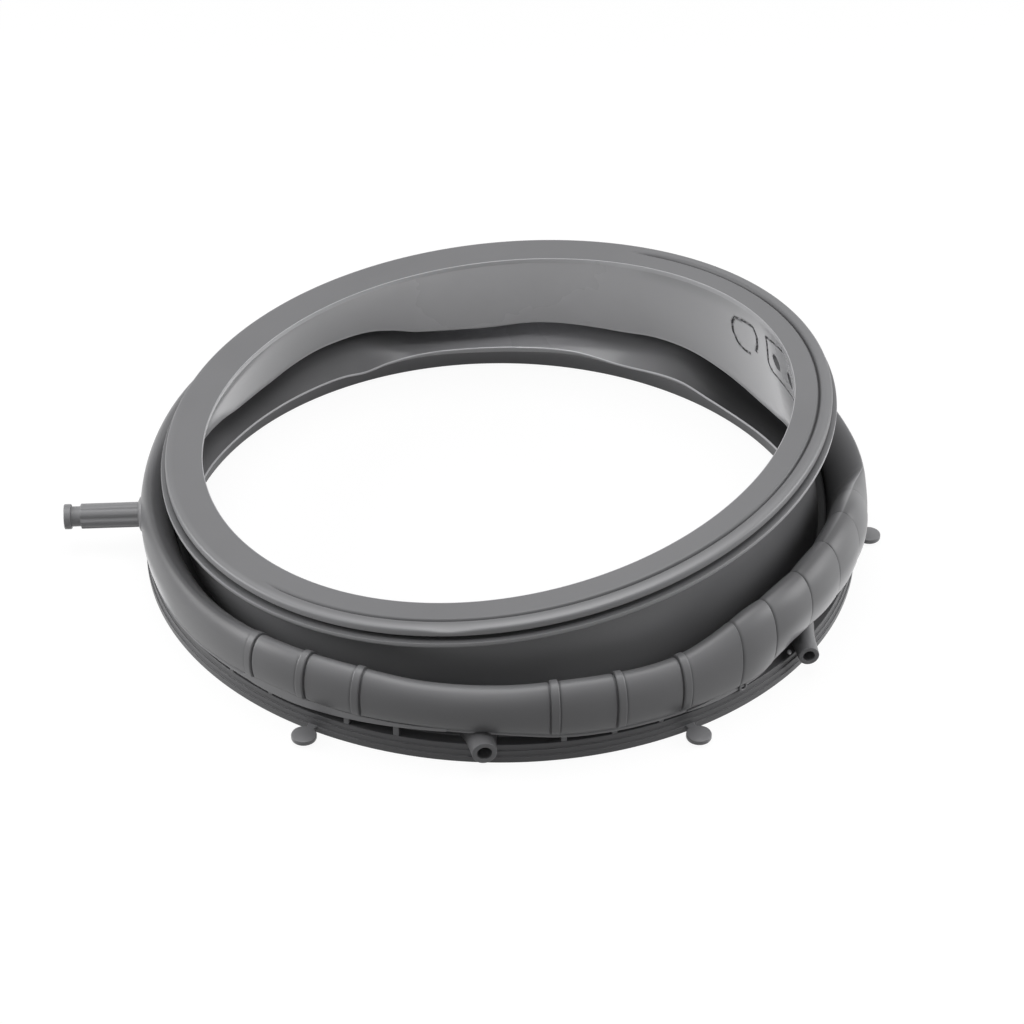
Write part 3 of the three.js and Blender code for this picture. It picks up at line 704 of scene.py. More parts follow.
@dataclass(frozen=True)
class LipShades:
    """Painted light and shade on the inner wall and the door lip: painted light and highlights where they are lighter,
    painted shade where they are darker.
    """

    # Painted light on the inner wall, lightest at the back and both sides and less between, with real gloss from the
    # clear coat.
    wall_light_and_gloss: tuple[Hump, ...] = (
        Hump(92.0, 22.0, 0.6),
        Hump(174.0, 18.0, 0.3),
        Hump(6.0, 16.0, 0.3),
        Hump(45.0, 20.0, -0.36),
        Hump(132.0, 20.0, -0.42),
    )
    # Painted shade towards the wall's foot at the back, and below the lip's inner edge at the back right.
    foot: Hump = Hump(92.0, 36.0, 0.45)
    brow_painted_shade: Stretch = Stretch(14.0, 64.0, 10.0, 0.22)
    brow_share: tuple[float, float] = (0.8, 0.99)
    # Painted highlights along the lip's inner edge and along the bead, strongest at both sides.
    inner_edge_highlight: float = 1.3
    bead_highlight: float = 0.7
    bead_highlight_humps: tuple[Hump, ...] = (Hump(178.0, 20.0), Hump(350.0, 22.0))
    # Painted light on the rim's side and the wall's outside at the front, and painted shade in the fold at the right.
    rim_painted_light: Hump = Hump(270.0, 62.0, 0.5)
    outside_painted_light: Hump = Hump(270.0, 62.0, 0.35)
    outside_fold_shade: Hump = Hump(350.0, 40.0, -0.78)
    # Painted shade in the face groove.
    groove_painted_shade: float = -0.6

    def at(
        self, azimuth: np.ndarray, outline: np.ndarray, places: list[slice], shares: dict[str, np.ndarray]
    ) -> dict[Shade, np.ndarray]:
        """The painted light and shade on the inner ring's outline.

        Args:
            azimuth: Azimuths in degrees.
            outline: Points of shape (azimuths, points, 2).
            places: Where the outside, underside, face groove, lip tip, drum side and wall end lie in the outline.
            shares: The outside's rise, the drum side's height and the groove's depth, each as a share.

        Returns:
            The shades, each of shape (azimuths, points).
        """
        outside, under, groove, tip, inside, _ = places
        # The first array is painted light with gloss; the second is painted highlights above 0 and painted shade below
        # 0.
        painted_light_and_gloss, edge = np.zeros(outline.shape[:2]), np.zeros(outline.shape[:2])
        down, brow_painted_shade = shares["inside"], total(azimuth, self.brow_painted_shade)
        low, high = self.brow_share
        last_tip = tip.start + PER_CORNER - 1
        painted_light_and_gloss[:, last_tip:-PER_CORNER] = 1.0
        painted_light_and_gloss[:, last_tip : tip.stop] -= brow_painted_shade
        wall = 1.0 + total(azimuth, *self.wall_light_and_gloss) - total(azimuth, self.foot) * (1 - down) ** 2
        painted_light_and_gloss[:, inside] = wall - brow_painted_shade * smooth((down - low) / (high - low))
        edge[:, under.start + 6 * PER_CORNER + 2 : under.stop] = total(azimuth, self.rim_painted_light)
        edge[:, groove] = self.groove_painted_shade * shares["groove"]
        edge[:, tip.start + 1 : last_tip] = self.inner_edge_highlight
        bead = under.start + 3 * PER_CORNER
        edge[:, bead - 4 : bead + 3] = self.bead_highlight + total(azimuth, *self.bead_highlight_humps)
        edge[:, outside] = total(azimuth, self.outside_painted_light)
        edge[:, outside] += total(azimuth, self.outside_fold_shade) * (1 - shares["outside"])
        return {Shade.PAINTED_LIGHT_AND_GLOSS: painted_light_and_gloss, Shade.PAINTED_LIGHT_SHADE_AND_TONE: edge}


@dataclass
class RingSection:
    """Works out the two closed outlines that make the ring, at any row of azimuths."""

    wall: Wall = field(default_factory=Wall)
    flange: FlangeSizes = field(default_factory=FlangeSizes)
    lip: LipSizes = field(default_factory=LipSizes)
    roll: RollStations = field(default_factory=RollStations)
    drum_lip: DrumLip = field(default_factory=DrumLip)
    outer_shades: OuterShades = field(default_factory=OuterShades)
    lip_shades: LipShades = field(default_factory=LipShades)
    middle_share: float = 0.42
    channel_width: float = 2.4
    sheet_slope: float = 1.4
    hollow_rise: float = 13.5
    hollow_back: Stretch = Stretch(38.0, 172.0, 18.0)

    def lip_inner(self, azimuth: np.ndarray) -> np.ndarray:
        """Height of the lip's inner edge: a tilted circle with a small saddle, as the soft ring lies."""
        turn = np.radians(azimuth)
        sizes = self.lip
        saddle = sizes.saddle * np.cos(2 * np.radians(azimuth + sizes.saddle_turn))
        return sizes.height + sizes.rise * np.cos(turn) + sizes.back_rise * np.sin(turn) + saddle

    def lip_rim(self, azimuth: np.ndarray) -> np.ndarray:
        """Height of the lip's rim: the inner edge's, less the drop, twisted from front to back."""
        twist = self.lip.rim_twist * np.sin(np.radians(azimuth))
        return self.lip_inner(azimuth) - self.lip.rim_drop + twist

    def wall_radius(self, share: np.ndarray) -> np.ndarray:
        """Inner wall's radius from foot (share 0) to head (share 1): a power curve between the two."""
        sizes = self.lip
        reach = sizes.foot_radius - sizes.head_radius
        return sizes.head_radius + reach * np.clip(1 - share, 0, None) ** sizes.bulge_power

    def wall_head(self, azimuth: np.ndarray) -> np.ndarray:
        """Height where the inner wall's drum side ends, just below the lip's inner edge."""
        return self.lip_inner(azimuth) - self.lip.edge_height

    def drum_lip_wave(self, azimuth: np.ndarray) -> np.ndarray:
        """How far the drum lip's edge wanders in and out round the ring, in millimetres."""
        return 0.5 * np.sin(np.radians(3 * azimuth + 40)) + 0.3 * np.sin(np.radians(7 * azimuth))

    def roll_values(self, azimuth: np.ndarray) -> dict[str, np.ndarray]:
        """The roll's sizes at the azimuths, with its middle height, crest radius and inner side's slant."""
        names = ("skirt", "crease", "crest", "channel", "outer", "inner", "top")
        values = {name: self.roll.at(name, azimuth) for name in names}
        values["middle"] = lerp(values["crease"], values["crest"], self.middle_share)
        values["crest_radius"] = values["outer"] - values["top"]
        values["slant"] = np.clip(2.0 - 2.0 * values["top"] / (values["outer"] - values["inner"]), 1.0, 2.0)
        return values

    def drum_side(self, azimuth: np.ndarray, height: np.ndarray, inset: np.ndarray) -> np.ndarray:
        """Points on the inner wall's drum side, or a little inside it.

        Args:
            azimuth: Azimuths in degrees.
            height: Height at each azimuth.
            inset: How far each point lies towards the axis.

        Returns:
            Points of shape (n, 3).
        """
        channel, head = self.roll.at("channel", azimuth), self.wall_head(azimuth)
        radius = self.wall_radius(np.clip((height - channel) / (head - channel), 0.0, 1.0)) - inset
        return self.lip_points(azimuth, pairs(column(radius), column(height)))[:, 0]

    def lip_points(self, azimuth: np.ndarray, outline: np.ndarray) -> np.ndarray:
        """Points of the inner ring in space, with the lip's sideways shift.

        Args:
            azimuth: One azimuth for each row.
            outline: Points of shape (azimuths, points, 2).

        Returns:
            Points of shape (azimuths, points, 3). The shift grows from the channel's floor to the lip's underside.
        """
        channel = column(self.roll.at("channel", azimuth))
        span = column(self.lip_inner(azimuth)) - self.lip.thickness - channel
        points = around(azimuth, outline)
        points[..., 0] += self.lip.shift_x * smooth((outline[..., 1] - channel) / span)
        return points

    def body_corners(self, values: dict[str, np.ndarray]) -> list[Corner]:
        """Corners from the tub face up the flange's stepped side, over the clamp groove and up the skirt."""
        sizes, fine, edge = self.flange, self.wall.fine_edge, self.wall.edge
        outer, groove = sizes.outer, sizes.outer - sizes.groove_depth
        crease = outer - sizes.crease_inset
        return [
            (sizes.inner, 0, edge),
            (outer, 0, edge),
            (outer, sizes.low_ledge, fine),
            (outer - sizes.ledge, sizes.low_ledge, fine),
            (outer - sizes.ledge, sizes.high_ledge, fine),
            (outer - 2 * sizes.ledge, sizes.high_ledge, fine),
            (outer - 2 * sizes.ledge, sizes.height, edge),
            (groove, sizes.height, edge),
            (groove, values["skirt"] + 1.0, 0.8),
            (crease - sizes.skirt_thickness, values["skirt"], 0.8),
            (crease + 0.7, values["skirt"], edge),
            (crease, values["crease"], self.wall.crisp),
        ]

    def floor_corners(self, values: dict[str, np.ndarray]) -> list[Corner]:
        """Corners of the channel's floor, from the roll to the inner wall's foot and back below."""
        channel, thick, fillet = values["channel"], self.wall.thickness, self.wall.fillet
        end = self.lip.foot_radius + 1.2
        return [
            (values["inner"] - self.channel_width / 2, channel, fillet),
            (end, channel, 0.6),
            (end, channel - thick + 0.2, 0.6),
            (values["inner"] + thick / 2, channel - thick, fillet),
        ]

    def inside_corners(self, azimuth: np.ndarray, values: dict[str, np.ndarray]) -> list[Corner]:
        """Corners from the hollow's floor over the drum lip to its root; the floor rises at the ring's back."""
        sizes, thick, crisp = self.flange, self.wall.thickness, self.wall.crisp
        floor = np.maximum(sizes.hollow_floor, values["crease"] - thick)
        floor += self.hollow_back.at(azimuth) * np.maximum(values["channel"] - self.hollow_rise - floor, 0.0)
        tip = sizes.inner - self.drum_lip.reach + self.drum_lip_wave(azimuth)
        top, lip_thick = self.drum_lip.top_at(azimuth), self.drum_lip.thickness_at(azimuth)
        return [
            (sizes.outer - sizes.crease_inset - thick, np.maximum(values["crease"] + thick, floor + 2.0), 2.0),
            (sizes.outer - sizes.groove_depth - thick, floor, 3.0),
            (sizes.inner, lerp(top, floor, 0.35) + 0.4, 3.0),
            (tip + 0.5, top, 0.4),
            (tip, top - 0.5, crisp),
            (tip, top - lip_thick, 0.5),
            (sizes.inner, np.minimum(sizes.drum_lip_root, top - lip_thick - 1.2), 1.4),
        ]

    def roll_curve(self, values: dict[str, np.ndarray]) -> np.ndarray:
        """Outside of the roll from the crease over the crest to the channel: stretches of three ellipses."""
        outer, crest_radius, middle, crest = (values[n] for n in ("outer", "crest_radius", "middle", "crest"))
        crease_radius = np.full_like(outer, self.flange.outer - self.flange.crease_inset)
        top = values["channel"] + self.channel_width
        flank_half = outer - crease_radius, middle - values["crease"]
        crest_half = outer - crest_radius, crest - middle
        inner_half = crest_radius - values["inner"], crest - top
        flank = ellipse_arc((crease_radius, middle), flank_half, (-72, -8), FLANK_POINTS)
        over = ellipse_arc((crest_radius, middle), crest_half, (0, 86), CREST_POINTS)
        channel = ellipse_arc((crest_radius, top), inner_half, (90, 178), CREST_POINTS, values["slant"])
        return np.concatenate([flank, over, channel], axis=1)

    def hollow_curve(self, values: dict[str, np.ndarray]) -> np.ndarray:
        """Inside of the roll, a wall's thickness in: two stretches of ellipses from the channel side to the skirt."""
        thick, outer, middle = self.wall.thickness, values["outer"], values["middle"]
        top = values["channel"] + self.channel_width
        radius = np.minimum(values["crest_radius"], outer - 2 * thick)
        peak = values["crest"] - thick - self.sheet_slope * (values["crest_radius"] - radius)
        inner_half = radius - values["inner"] - thick, peak - top
        up = ellipse_arc((radius, top), inner_half, (178, 92), HOLLOW_POINTS, values["slant"])
        down = ellipse_arc((radius, middle), (outer - radius - thick, peak - middle), (86, 0), HOLLOW_POINTS)
        return np.concatenate([up, down], axis=1)

    def outer_outline(self, azimuth: np.ndarray) -> tuple[np.ndarray, slice, dict[Shade, np.ndarray]]:
        """The flange, skirt, roll, channel floor, hollow and drum lip as one closed outline.

        Args:
            azimuth: Azimuths in degrees.

        Returns:
            Points of shape (azimuths, points, 2), the stretch of them that is the roll's outside, and the painted
            light and shade.
        """
        values = self.roll_values(azimuth)
        groups = [self.body_corners(values), self.floor_corners(values), self.inside_corners(azimuth, values)]
        body, floor, inside = softened(groups, len(azimuth))
        outline, places = strung([body, self.roll_curve(values), floor, self.hollow_curve(values), inside])
        return outline, places[1], self.outer_shades.at(azimuth, outline, places)

    def under_corners(self, azimuth: np.ndarray, rim: np.ndarray, wall_end: tuple) -> list[Corner]:
        """Corners from the wall's outside along the lip's underside, round bead and band slot, up to the rim.

        Args:
            azimuth: Azimuths in degrees.
            rim: The rim's height at each azimuth.
            wall_end: Radius and height of the wall's outside under the lip, at each azimuth.

        Returns:
            The corners.
        """
        sizes = self.lip
        slot_top = rim - (sizes.thickness - sizes.bead_height - sizes.slot_height)
        slot_bottom, slot_radius = slot_top - sizes.slot_height, sizes.rim - sizes.slot_depth
        return [
            (*wall_end, sizes.underside_fillet),
            (sizes.rim - 1.0, rim - sizes.thickness, 1.0),
            (sizes.bead_radius, rim - sizes.thickness + 0.7, 1.5),
            (sizes.bead_radius, slot_bottom, 0.5),
            (slot_radius, slot_bottom, 0.5),
            (slot_radius, slot_top, 0.5),
            (sizes.rim, slot_top, 0.4),
            (sizes.rim, rim - sizes.scoop.at(azimuth), sizes.rim_rounding),
        ]

    def face_groove(self, azimuth: np.ndarray, inner: np.ndarray, rim: np.ndarray) -> tuple[np.ndarray, np.ndarray]:
        """The groove in the lip's face, which else runs straight from inner edge to rim.

        Args:
            azimuth: Azimuths in degrees.
            inner: Height of the lip's inner edge at each azimuth.
            rim: Height of its rim at each azimuth.

        Returns:
            Points of shape (azimuths, points, 2), and the dip at each point: e to the minus 2.2 times the square of
            the distance in half widths. A small step across the groove raises its inner side.
        """
        sizes = self.lip
        slope = (rim - inner) / (sizes.rim - sizes.inner)
        groove = total(azimuth, sizes.groove_run)
        half = sizes.groove_width / 2
        radius = sizes.groove_radius + np.linspace(-2.2, 2.2, GROOVE_POINTS)[::-1] * half
        across = ((radius - sizes.groove_radius) / half)[None, :]
        dip = np.exp(-(across**2) * 2.2) * sizes.groove_depth * groove
        step = sizes.groove_step * smooth((across + 1.2) / 2.4) * groove
        face = column(inner) + column(slope) * (radius[None, :] - sizes.inner)
        return pairs(radius[None, :], face - dip + step), dip

    def lip_outline(self, azimuth: np.ndarray) -> tuple[np.ndarray, dict[Shade, np.ndarray]]:
        """The inner wall and the door lip as one closed outline.

        Args:
            azimuth: Azimuths in degrees.

        Returns:
            Points of shape (azimuths, points, 2), and the painted light and shade.
        """
        sizes, thick = self.lip, self.wall.thickness
        inner, rim, head = self.lip_inner(azimuth), self.lip_rim(azimuth), self.wall_head(azimuth)
        channel = self.roll.at("channel", azimuth)
        underside = inner - sizes.thickness
        top = (underside - channel) / (head - channel)
        rise = column(1.0 - sizes.outside_gap / (underside - channel)) * np.linspace(0.0, 1.0, OUTSIDE_POINTS)
        outside_height = lerp(column(channel - 1.2), column(underside), rise)
        outside = pairs(self.wall_radius(column(top) * rise) + thick, outside_height)
        groove, dip = self.face_groove(azimuth, inner, rim)
        down = 1.0 - np.linspace(0.07, 1.0, INSIDE_POINTS)[None, :] ** 2
        inside = pairs(self.wall_radius(down), lerp(column(channel), column(head), down))
        tip_corners = [(sizes.inner, inner, 0.5), (sizes.head_radius, head, 0.5)]
        end_corners = [
            (sizes.foot_radius + 1.0, channel - thick, 1.0),
            (sizes.foot_radius + 3.6, channel - thick, 0.5),
        ]
        under_corners = self.under_corners(azimuth, rim, (self.wall_radius(top) + thick, underside))
        under, tip, end = softened([under_corners, tip_corners, end_corners], len(azimuth))
        outline, places = strung([outside, under, groove, tip, inside, end])
        shares = {"outside": rise, "inside": down, "groove": dip / sizes.groove_depth}
        return outline, self.lip_shades.at(azimuth, outline, places, shares)


# ---------------------------------------------------------------------------
# The ring pieces
# ---------------------------------------------------------------------------


def ring_azimuths(count: int, lines: list[float], radius: float) -> np.ndarray:
    """Azimuths for a ring's columns: even steps, and a close row of steps beside each moulded line.

    Args:
        count: Number of even steps.
        lines: Azimuths of the lines.
        radius: Radius at which the close steps are measured, in millimetres.

    Returns:
        Sorted azimuths in degrees, none closer to the next than the least gap.
    """
    even = np.arange(count) * 360.0 / count
    close = (np.array(lines)[:, None] + np.degrees(LINE_OFFSETS / radius)[None, :]).ravel() % 360.0
    far = np.abs(turn_between(even[:, None], 0.0) - turn_between(close[None, :], 0.0)).min(1)
    whole = np.unique(np.round(np.concatenate([even[far > LINE_CLEARANCE], close]), 5))
    gap = np.diff(np.concatenate([whole, [whole[0] + 360.0]]))
    return whole[gap > LEAST_GAP]


@dataclass
class OuterRing:
    """The flange, clamp groove, skirt and roll, with the bands moulded across the roll."""

    section: RingSection
    bands: tuple[RollBand, ...] = BANDS
    pillow: float = 0.9
    fade_in: float = 0.06
    fade_end: float = 0.92
    fade_out: float = 0.14
    steps: int = 560

    def band_lines(self) -> list[float]:
        """Azimuths of every moulded line across the roll, both sides of a strap."""
        radius = self.section.flange.outer
        lines = []
        for band in self.bands:
            half = np.degrees(band.width / 2 / radius)
            lines.extend([band.azimuth - half, band.azimuth + half] if band.width else [band.azimuth])
        return lines

    def band_relief(self, azimuth: np.ndarray) -> np.ndarray:
        """Relief of all bands; from one step to the next the roll swells by 4 pillows times share times 1 - share."""
        relief = sum(band.relief(azimuth, self.section.flange.outer) for band in self.bands)
        steps = [band.azimuth for band in self.bands if not band.width]
        for start, end in zip(steps[:-1], steps[1:]):
            share = np.clip(turn_between(azimuth, start) / (end - start), 0.0, 1.0)
            relief += self.pillow * 4 * share * (1 - share)
        return relief

    def build(self, frame: RingFrame) -> bpy.types.Object:
        """Makes the piece, with the bands pressed in along the surface's normal."""
        azimuth = ring_azimuths(self.steps, self.band_lines(), self.section.flange.outer)
        outline, roll, shades = self.section.outer_outline(azimuth)
        along = np.linspace(0.0, 1.0, roll.stop - roll.start)
        fade = smooth(along / self.fade_in) * smooth((self.fade_end - along) / self.fade_out)
        push = column(self.band_relief(azimuth)) * fade[None, :]
        outline[:, roll] += outline_normals(outline)[:, roll] * push[..., None]
        return torus_object("flange_and_roll", around(azimuth, outline), frame, shades)


@dataclass(frozen=True)
class WallLine:
    """A fine line pressed into the inner wall's drum side, along stations of azimuth and height."""

    azimuth: tuple[float, ...]
    height: tuple[float, ...]
    half_width: float = 0.8
    half_depth: float = 1.3


@dataclass(frozen=True)
class WallHole:
    """A round hole through the inner wall."""

    azimuth: float
    height: float
    diameter: float = 10.6
    half_length: float = 7.0


RING_LINE = WallLine(
    azimuth=(30.7, 32.6, 34.8, 35.7, 35.3, 34.1, 30.9, 27.6, 26.7, 27.2, 28.3),
    height=(71.4, 69.9, 72.7, 81.0, 88.5, 93.6, 95.9, 97.4, 91.4, 84.0, 76.9),
    half_width=0.9,
    half_depth=1.8,
)
PAD_LINE = WallLine(
    azimuth=(13.0, 18.8, 22.4, 22.3, 22.9, 23.5, 23.0, 21.6, 17.5, 12.1, 9.0),
    height=(106.6, 102.0, 99.8, 96.0, 87.0, 78.6, 74.8, 73.0, 73.3, 75.9, 77.5),
    half_depth=1.6,
)
PAD_HOLES = (WallHole(18.9, 86.8), WallHole(10.4, 90.6))


@dataclass
class InnerRing:
    """The inner wall and the door lip, with the lines and holes in the wall's drum side."""

    section: RingSection
    lines: tuple[WallLine, ...] = (RING_LINE, PAD_LINE)
    holes: tuple[WallHole, ...] = PAD_HOLES
    steps: int = 720
    line_steps: int = 130
    sides: int = 12
    # Painted shade inside the cut lines and holes.
    cut_painted_shade: float = 0.6

    def line_cutter(self, line: WallLine) -> tuple[np.ndarray, list]:
        """A thin rod that lies along a wall line, half sunk into the wall: an ellipse carried along the path."""
        station = np.arange(len(line.azimuth))
        share = np.linspace(0, len(station) - 1, self.line_steps)
        azimuth = np.interp(share, station, line.azimuth)
        height = np.interp(share, station, line.height)
        for row in (azimuth, height) * 2:
            row[2:-2] = np.convolve(row, PATH_WEIGHTS, mode="valid")
        path = self.section.drum_side(azimuth, height, np.zeros_like(azimuth))
        inward = self.section.drum_side(azimuth, height, np.ones_like(azimuth)) - path
        along = np.gradient(path, axis=0)
        along /= np.linalg.norm(along, axis=1, keepdims=True)
        across = np.cross(along, inward)
        across /= np.linalg.norm(across, axis=1, keepdims=True)
        angle = np.arange(self.sides) * 2 * np.pi / self.sides
        ring = line.half_width * np.cos(angle)[None, :, None] * across[:, None]
        ring = ring + line.half_depth * np.sin(angle)[None, :, None] * inward[:, None]
        return loft_data(path[:, None] + ring)

    def hole_cutter(self, hole: WallHole) -> tuple[np.ndarray, list]:
        """A round rod through the wall at a hole."""
        rod = round_profile([(-hole.half_length, hole.diameter / 2), (hole.half_length, hole.diameter / 2)], 40)
        place = np.array([hole.azimuth]), np.array([hole.height])
        centre = self.section.drum_side(*place, np.zeros(1))[0]
        return loft_data(at_azimuth(rod, hole.azimuth) + centre)

    def build(self, frame: RingFrame) -> bpy.types.Object:
        """Makes the piece and cuts its wall."""
        azimuth = np.arange(self.steps) * 360.0 / self.steps
        outline, shades = self.section.lip_outline(azimuth)
        piece = torus_object("wall_and_lip", self.section.lip_points(azimuth, outline), frame, shades)
        cutters = [self.line_cutter(line) for line in self.lines] + [self.hole_cutter(hole) for hole in self.holes]
        points, faces = join_data(cutters)
        cutter = make_object("wall_cutters", points, faces, frame)
        # The cut faces carry painted shade and no painted light.
        paint(cutter, {Shade.PAINTED_LIGHT_SHADE_AND_TONE: np.full(len(points), -self.cut_painted_shade), Shade.PAINTED_LIGHT_AND_GLOSS: np.zeros(len(points))})
        return cut_away(piece, cutter)


# ---------------------------------------------------------------------------
# Small parts
# ---------------------------------------------------------------------------


def round_profile(stops: list[tuple[float, float]], sides: int) -> np.ndarray:
    """Rings of a turned shape along +X.

    Args:
        stops: Pairs of place along X and radius, in order along the outline.
        sides: Points on each ring.

    Returns:
        Rings of shape (stops, sides, 3): each has its radius times cosine and sine across X.
    """
    angle = -np.arange(sides) * 2 * np.pi / sides
    place, radius = np.array(stops, float).T[..., None]
    return np.stack(np.broadcast_arrays(place, radius * np.cos(angle), radius * np.sin(angle)), axis=-1)


class LoftedPiece:
    """A piece made of closed lofts, each with an even shade."""

    name: ClassVar[str]

    def lofts(self) -> list[np.ndarray]:
        """Gives the rings of each loft, of shape (rings, points, 3)."""
        raise NotImplementedError

    def shades(self) -> dict[Shade, tuple[float, ...]]:
        """Gives the piece's shades: one value for all lofts, or one for each."""
        return {}

    def build(self, frame: RingFrame) -> bpy.types.Object:
        """Makes the piece."""
        parts = [loft_data(rings) for rings in self.lofts()]
        points, faces = join_data(parts)
        made = make_object(self.name, points, faces, frame)
        counts = [len(part[0]) for part in parts]
        shades = self.shades().items()
        paint(made, {shade: np.repeat(np.broadcast_to(values, len(parts)), counts) for shade, values in shades})
        return made


@dataclass(frozen=True)
class Nozzle:
    """A drain nozzle: a cone with a bore and a rounded mouth."""

    azimuth: float
    reach: float
    height: float
    length: float
    mouth: float
    root: float
    bore: float
    bore_depth: float


@dataclass
class Nozzles(LoftedPiece):
    """Both drain nozzles, which point the same way."""

    name: ClassVar[str] = "drain_nozzles"
    section: RingSection
    turn: float = 8.0
    edge: float = 0.6
    sides: int = 48
    pair: tuple[Nozzle, ...] = (
        Nozzle(267.75, 8.7, 14.0, 20.0, 14.0, 18.4, 8.0, 18.0),
        Nozzle(321.6, 9.6, 15.4, 27.0, 12.0, 15.0, 6.6, 22.0),
    )

    def rings(self, nozzle: Nozzle) -> np.ndarray:
        """Rings of one nozzle at its place: along the outside, over the round mouth and down the bore."""
        mouth, root, bore, edge = nozzle.mouth / 2, nozzle.root / 2, nozzle.bore / 2, self.edge
        stops = [(-nozzle.length, root + 1.5), (-nozzle.length * 0.75, lerp(root, mouth, 0.3) + 0.4)]
        stops += [(-nozzle.length * 0.5, lerp(root, mouth, 0.55)), (-2 * edge, mouth)]
        stops += [(-edge * 0.5, mouth - edge * 0.12), (-edge * 0.12, mouth - edge * 0.5), (0.0, mouth - edge)]
        stops += [(0.0, bore + edge), (-edge * 0.15, bore + edge * 0.4), (-edge, bore), (-2 * edge, bore)]
        stops += [(-nozzle.bore_depth, bore)]
        rings = at_azimuth(round_profile(stops, self.sides), self.turn - 90.0)
        angle = np.radians(nozzle.azimuth)
        radius = self.section.flange.outer + nozzle.reach
        return rings + np.array([radius * np.cos(angle), radius * np.sin(angle), nozzle.height])

    def lofts(self) -> list[np.ndarray]:
        """Both nozzles."""
        return [self.rings(nozzle) for nozzle in self.pair]


@dataclass
class SidePipe(LoftedPiece):
    """The grooved pipe at the side: boss, grooved sleeve, neck and end collar, with its bore.

    Each groove is a hump by the angle round the pipe, whose height is the depth.
    """

    name: ClassVar[str] = "side_pipe"
    azimuth: float = 183.2
    height: float = 23.7
    end: float = 263.0
    root: float = 206.0
    sleeve: float = 15.2
    grooves: tuple[Hump, ...] = (
        Hump(294.0, 5.0, 0.5),
        Hump(341.0, 11.0, 1.1),
        Hump(35.0, 8.0, 0.7),
        Hump(90.0, 8.0, 0.8),
        Hump(150.0, 8.0, 0.8),
        Hump(198.0, 8.0, 0.8),
        Hump(246.0, 6.0, 0.6),
    )
    boss_stops: tuple[tuple[float, float], ...] = (
        (202.0, 13.0), (212.0, 12.4), (215.6, 11.6), (217.4, 10.2), (218.4, 8.0), (218.6, 4.0),
    )
    neck: float = 12.2
    neck_length: float = 5.6
    collar: float = 15.2
    collar_length: float = 4.4
    bore: float = 8.4
    bore_depth: float = 40.0
    edge: float = 0.4
    tone: float = 0.3
    sides: int = 120

    def rings(self) -> np.ndarray:
        """Rings along the pipe; each groove takes its depth off the sleeve's radius."""
        neck_end, edge = self.end - self.collar_length, self.edge
        sleeve_end = neck_end - self.neck_length
        sleeve, neck, collar, bore = self.sleeve / 2, self.neck / 2, self.collar / 2, self.bore / 2
        stops = [(self.root, sleeve), (sleeve_end - edge, sleeve), (sleeve_end, sleeve - edge)]
        stops += [(sleeve_end + 0.1, neck), (neck_end, neck), (neck_end, collar - edge), (neck_end + edge, collar)]
        stops += [(self.end - edge, collar), (self.end, collar - edge), (self.end, bore + edge)]
        stops += [(self.end - edge, bore), (self.end - self.bore_depth, bore)]
        rings = round_profile(stops, self.sides)
        angle = np.arange(self.sides) * 360.0 / self.sides
        shrunk = 1.0 - sum(groove.at(angle) for groove in self.grooves) / sleeve
        rings[:3, :, 1:] *= shrunk[None, :, None]
        return rings

    def lofts(self) -> list[np.ndarray]:
        """The pipe, and the soft boss that fades into the roll."""
        lift = np.array([0, 0, self.height])
        return [at_azimuth(r + lift, self.azimuth) for r in (self.rings(), round_profile(self.boss_stops, self.sides))]

    def shades(self) -> dict[Shade, tuple[float, ...]]:
        """The pipe is a little lighter."""
        return {Shade.PAINTED_LIGHT_SHADE_AND_TONE: (self.tone,)}


@dataclass(frozen=True)
class Strip:
    """A flat strip along the skirt: its lower and upper edge at stations of azimuth."""

    azimuth: tuple[float, ...]
    low: tuple[float, ...]
    high: tuple[float, ...]


@dataclass
class SkirtStrips(LoftedPiece):
    """The strip at the front left, which tapers towards the drain nozzle, and the short one at the front right."""

    name: ClassVar[str] = "skirt_strips"
    strips: tuple[Strip, ...] = (
        Strip(
            azimuth=(227.6, 228.2, 229.6, 232.0, 238.0, 247.0, 255.0, 262.0),
            low=(17.6, 16.4, 15.7, 15.3, 15.4, 17.6, 19.6, 20.9),
            high=(18.6, 20.0, 20.9, 21.4, 21.8, 21.9, 22.4, 23.0),
        ),
        Strip(
            azimuth=(299.0, 302.0, 305.0, 307.2, 307.8),
            low=(14.6, 14.0, 13.9, 14.2, 14.8),
            high=(15.2, 16.0, 17.2, 18.0, 17.4),
        ),
    )
    inner: float = 210.5
    outer: float = 215.4
    edge: float = 0.3
    tone: float = 0.4
    steps: int = 80

    def rings(self, strip: Strip) -> np.ndarray:
        """Rings of one strip: a rectangle with soft corners carried round the ring."""
        azimuth = np.linspace(strip.azimuth[0], strip.azimuth[-1], self.steps)
        low = np.interp(azimuth, strip.azimuth, strip.low)
        high = np.interp(azimuth, strip.azimuth, strip.high)
        corners = [(self.inner, low), (self.outer, low), (self.outer, high), (self.inner, high)]
        (outline,) = softened([[(*corner, self.edge) for corner in corners]], self.steps)
        return around(azimuth, outline)[:, ::-1]

    def lofts(self) -> list[np.ndarray]:
        """Both strips."""
        return [self.rings(strip) for strip in self.strips]

    def shades(self) -> dict[Shade, tuple[float, ...]]:
        """The strips are lighter."""
        return {Shade.PAINTED_LIGHT_SHADE_AND_TONE: (self.tone,)}


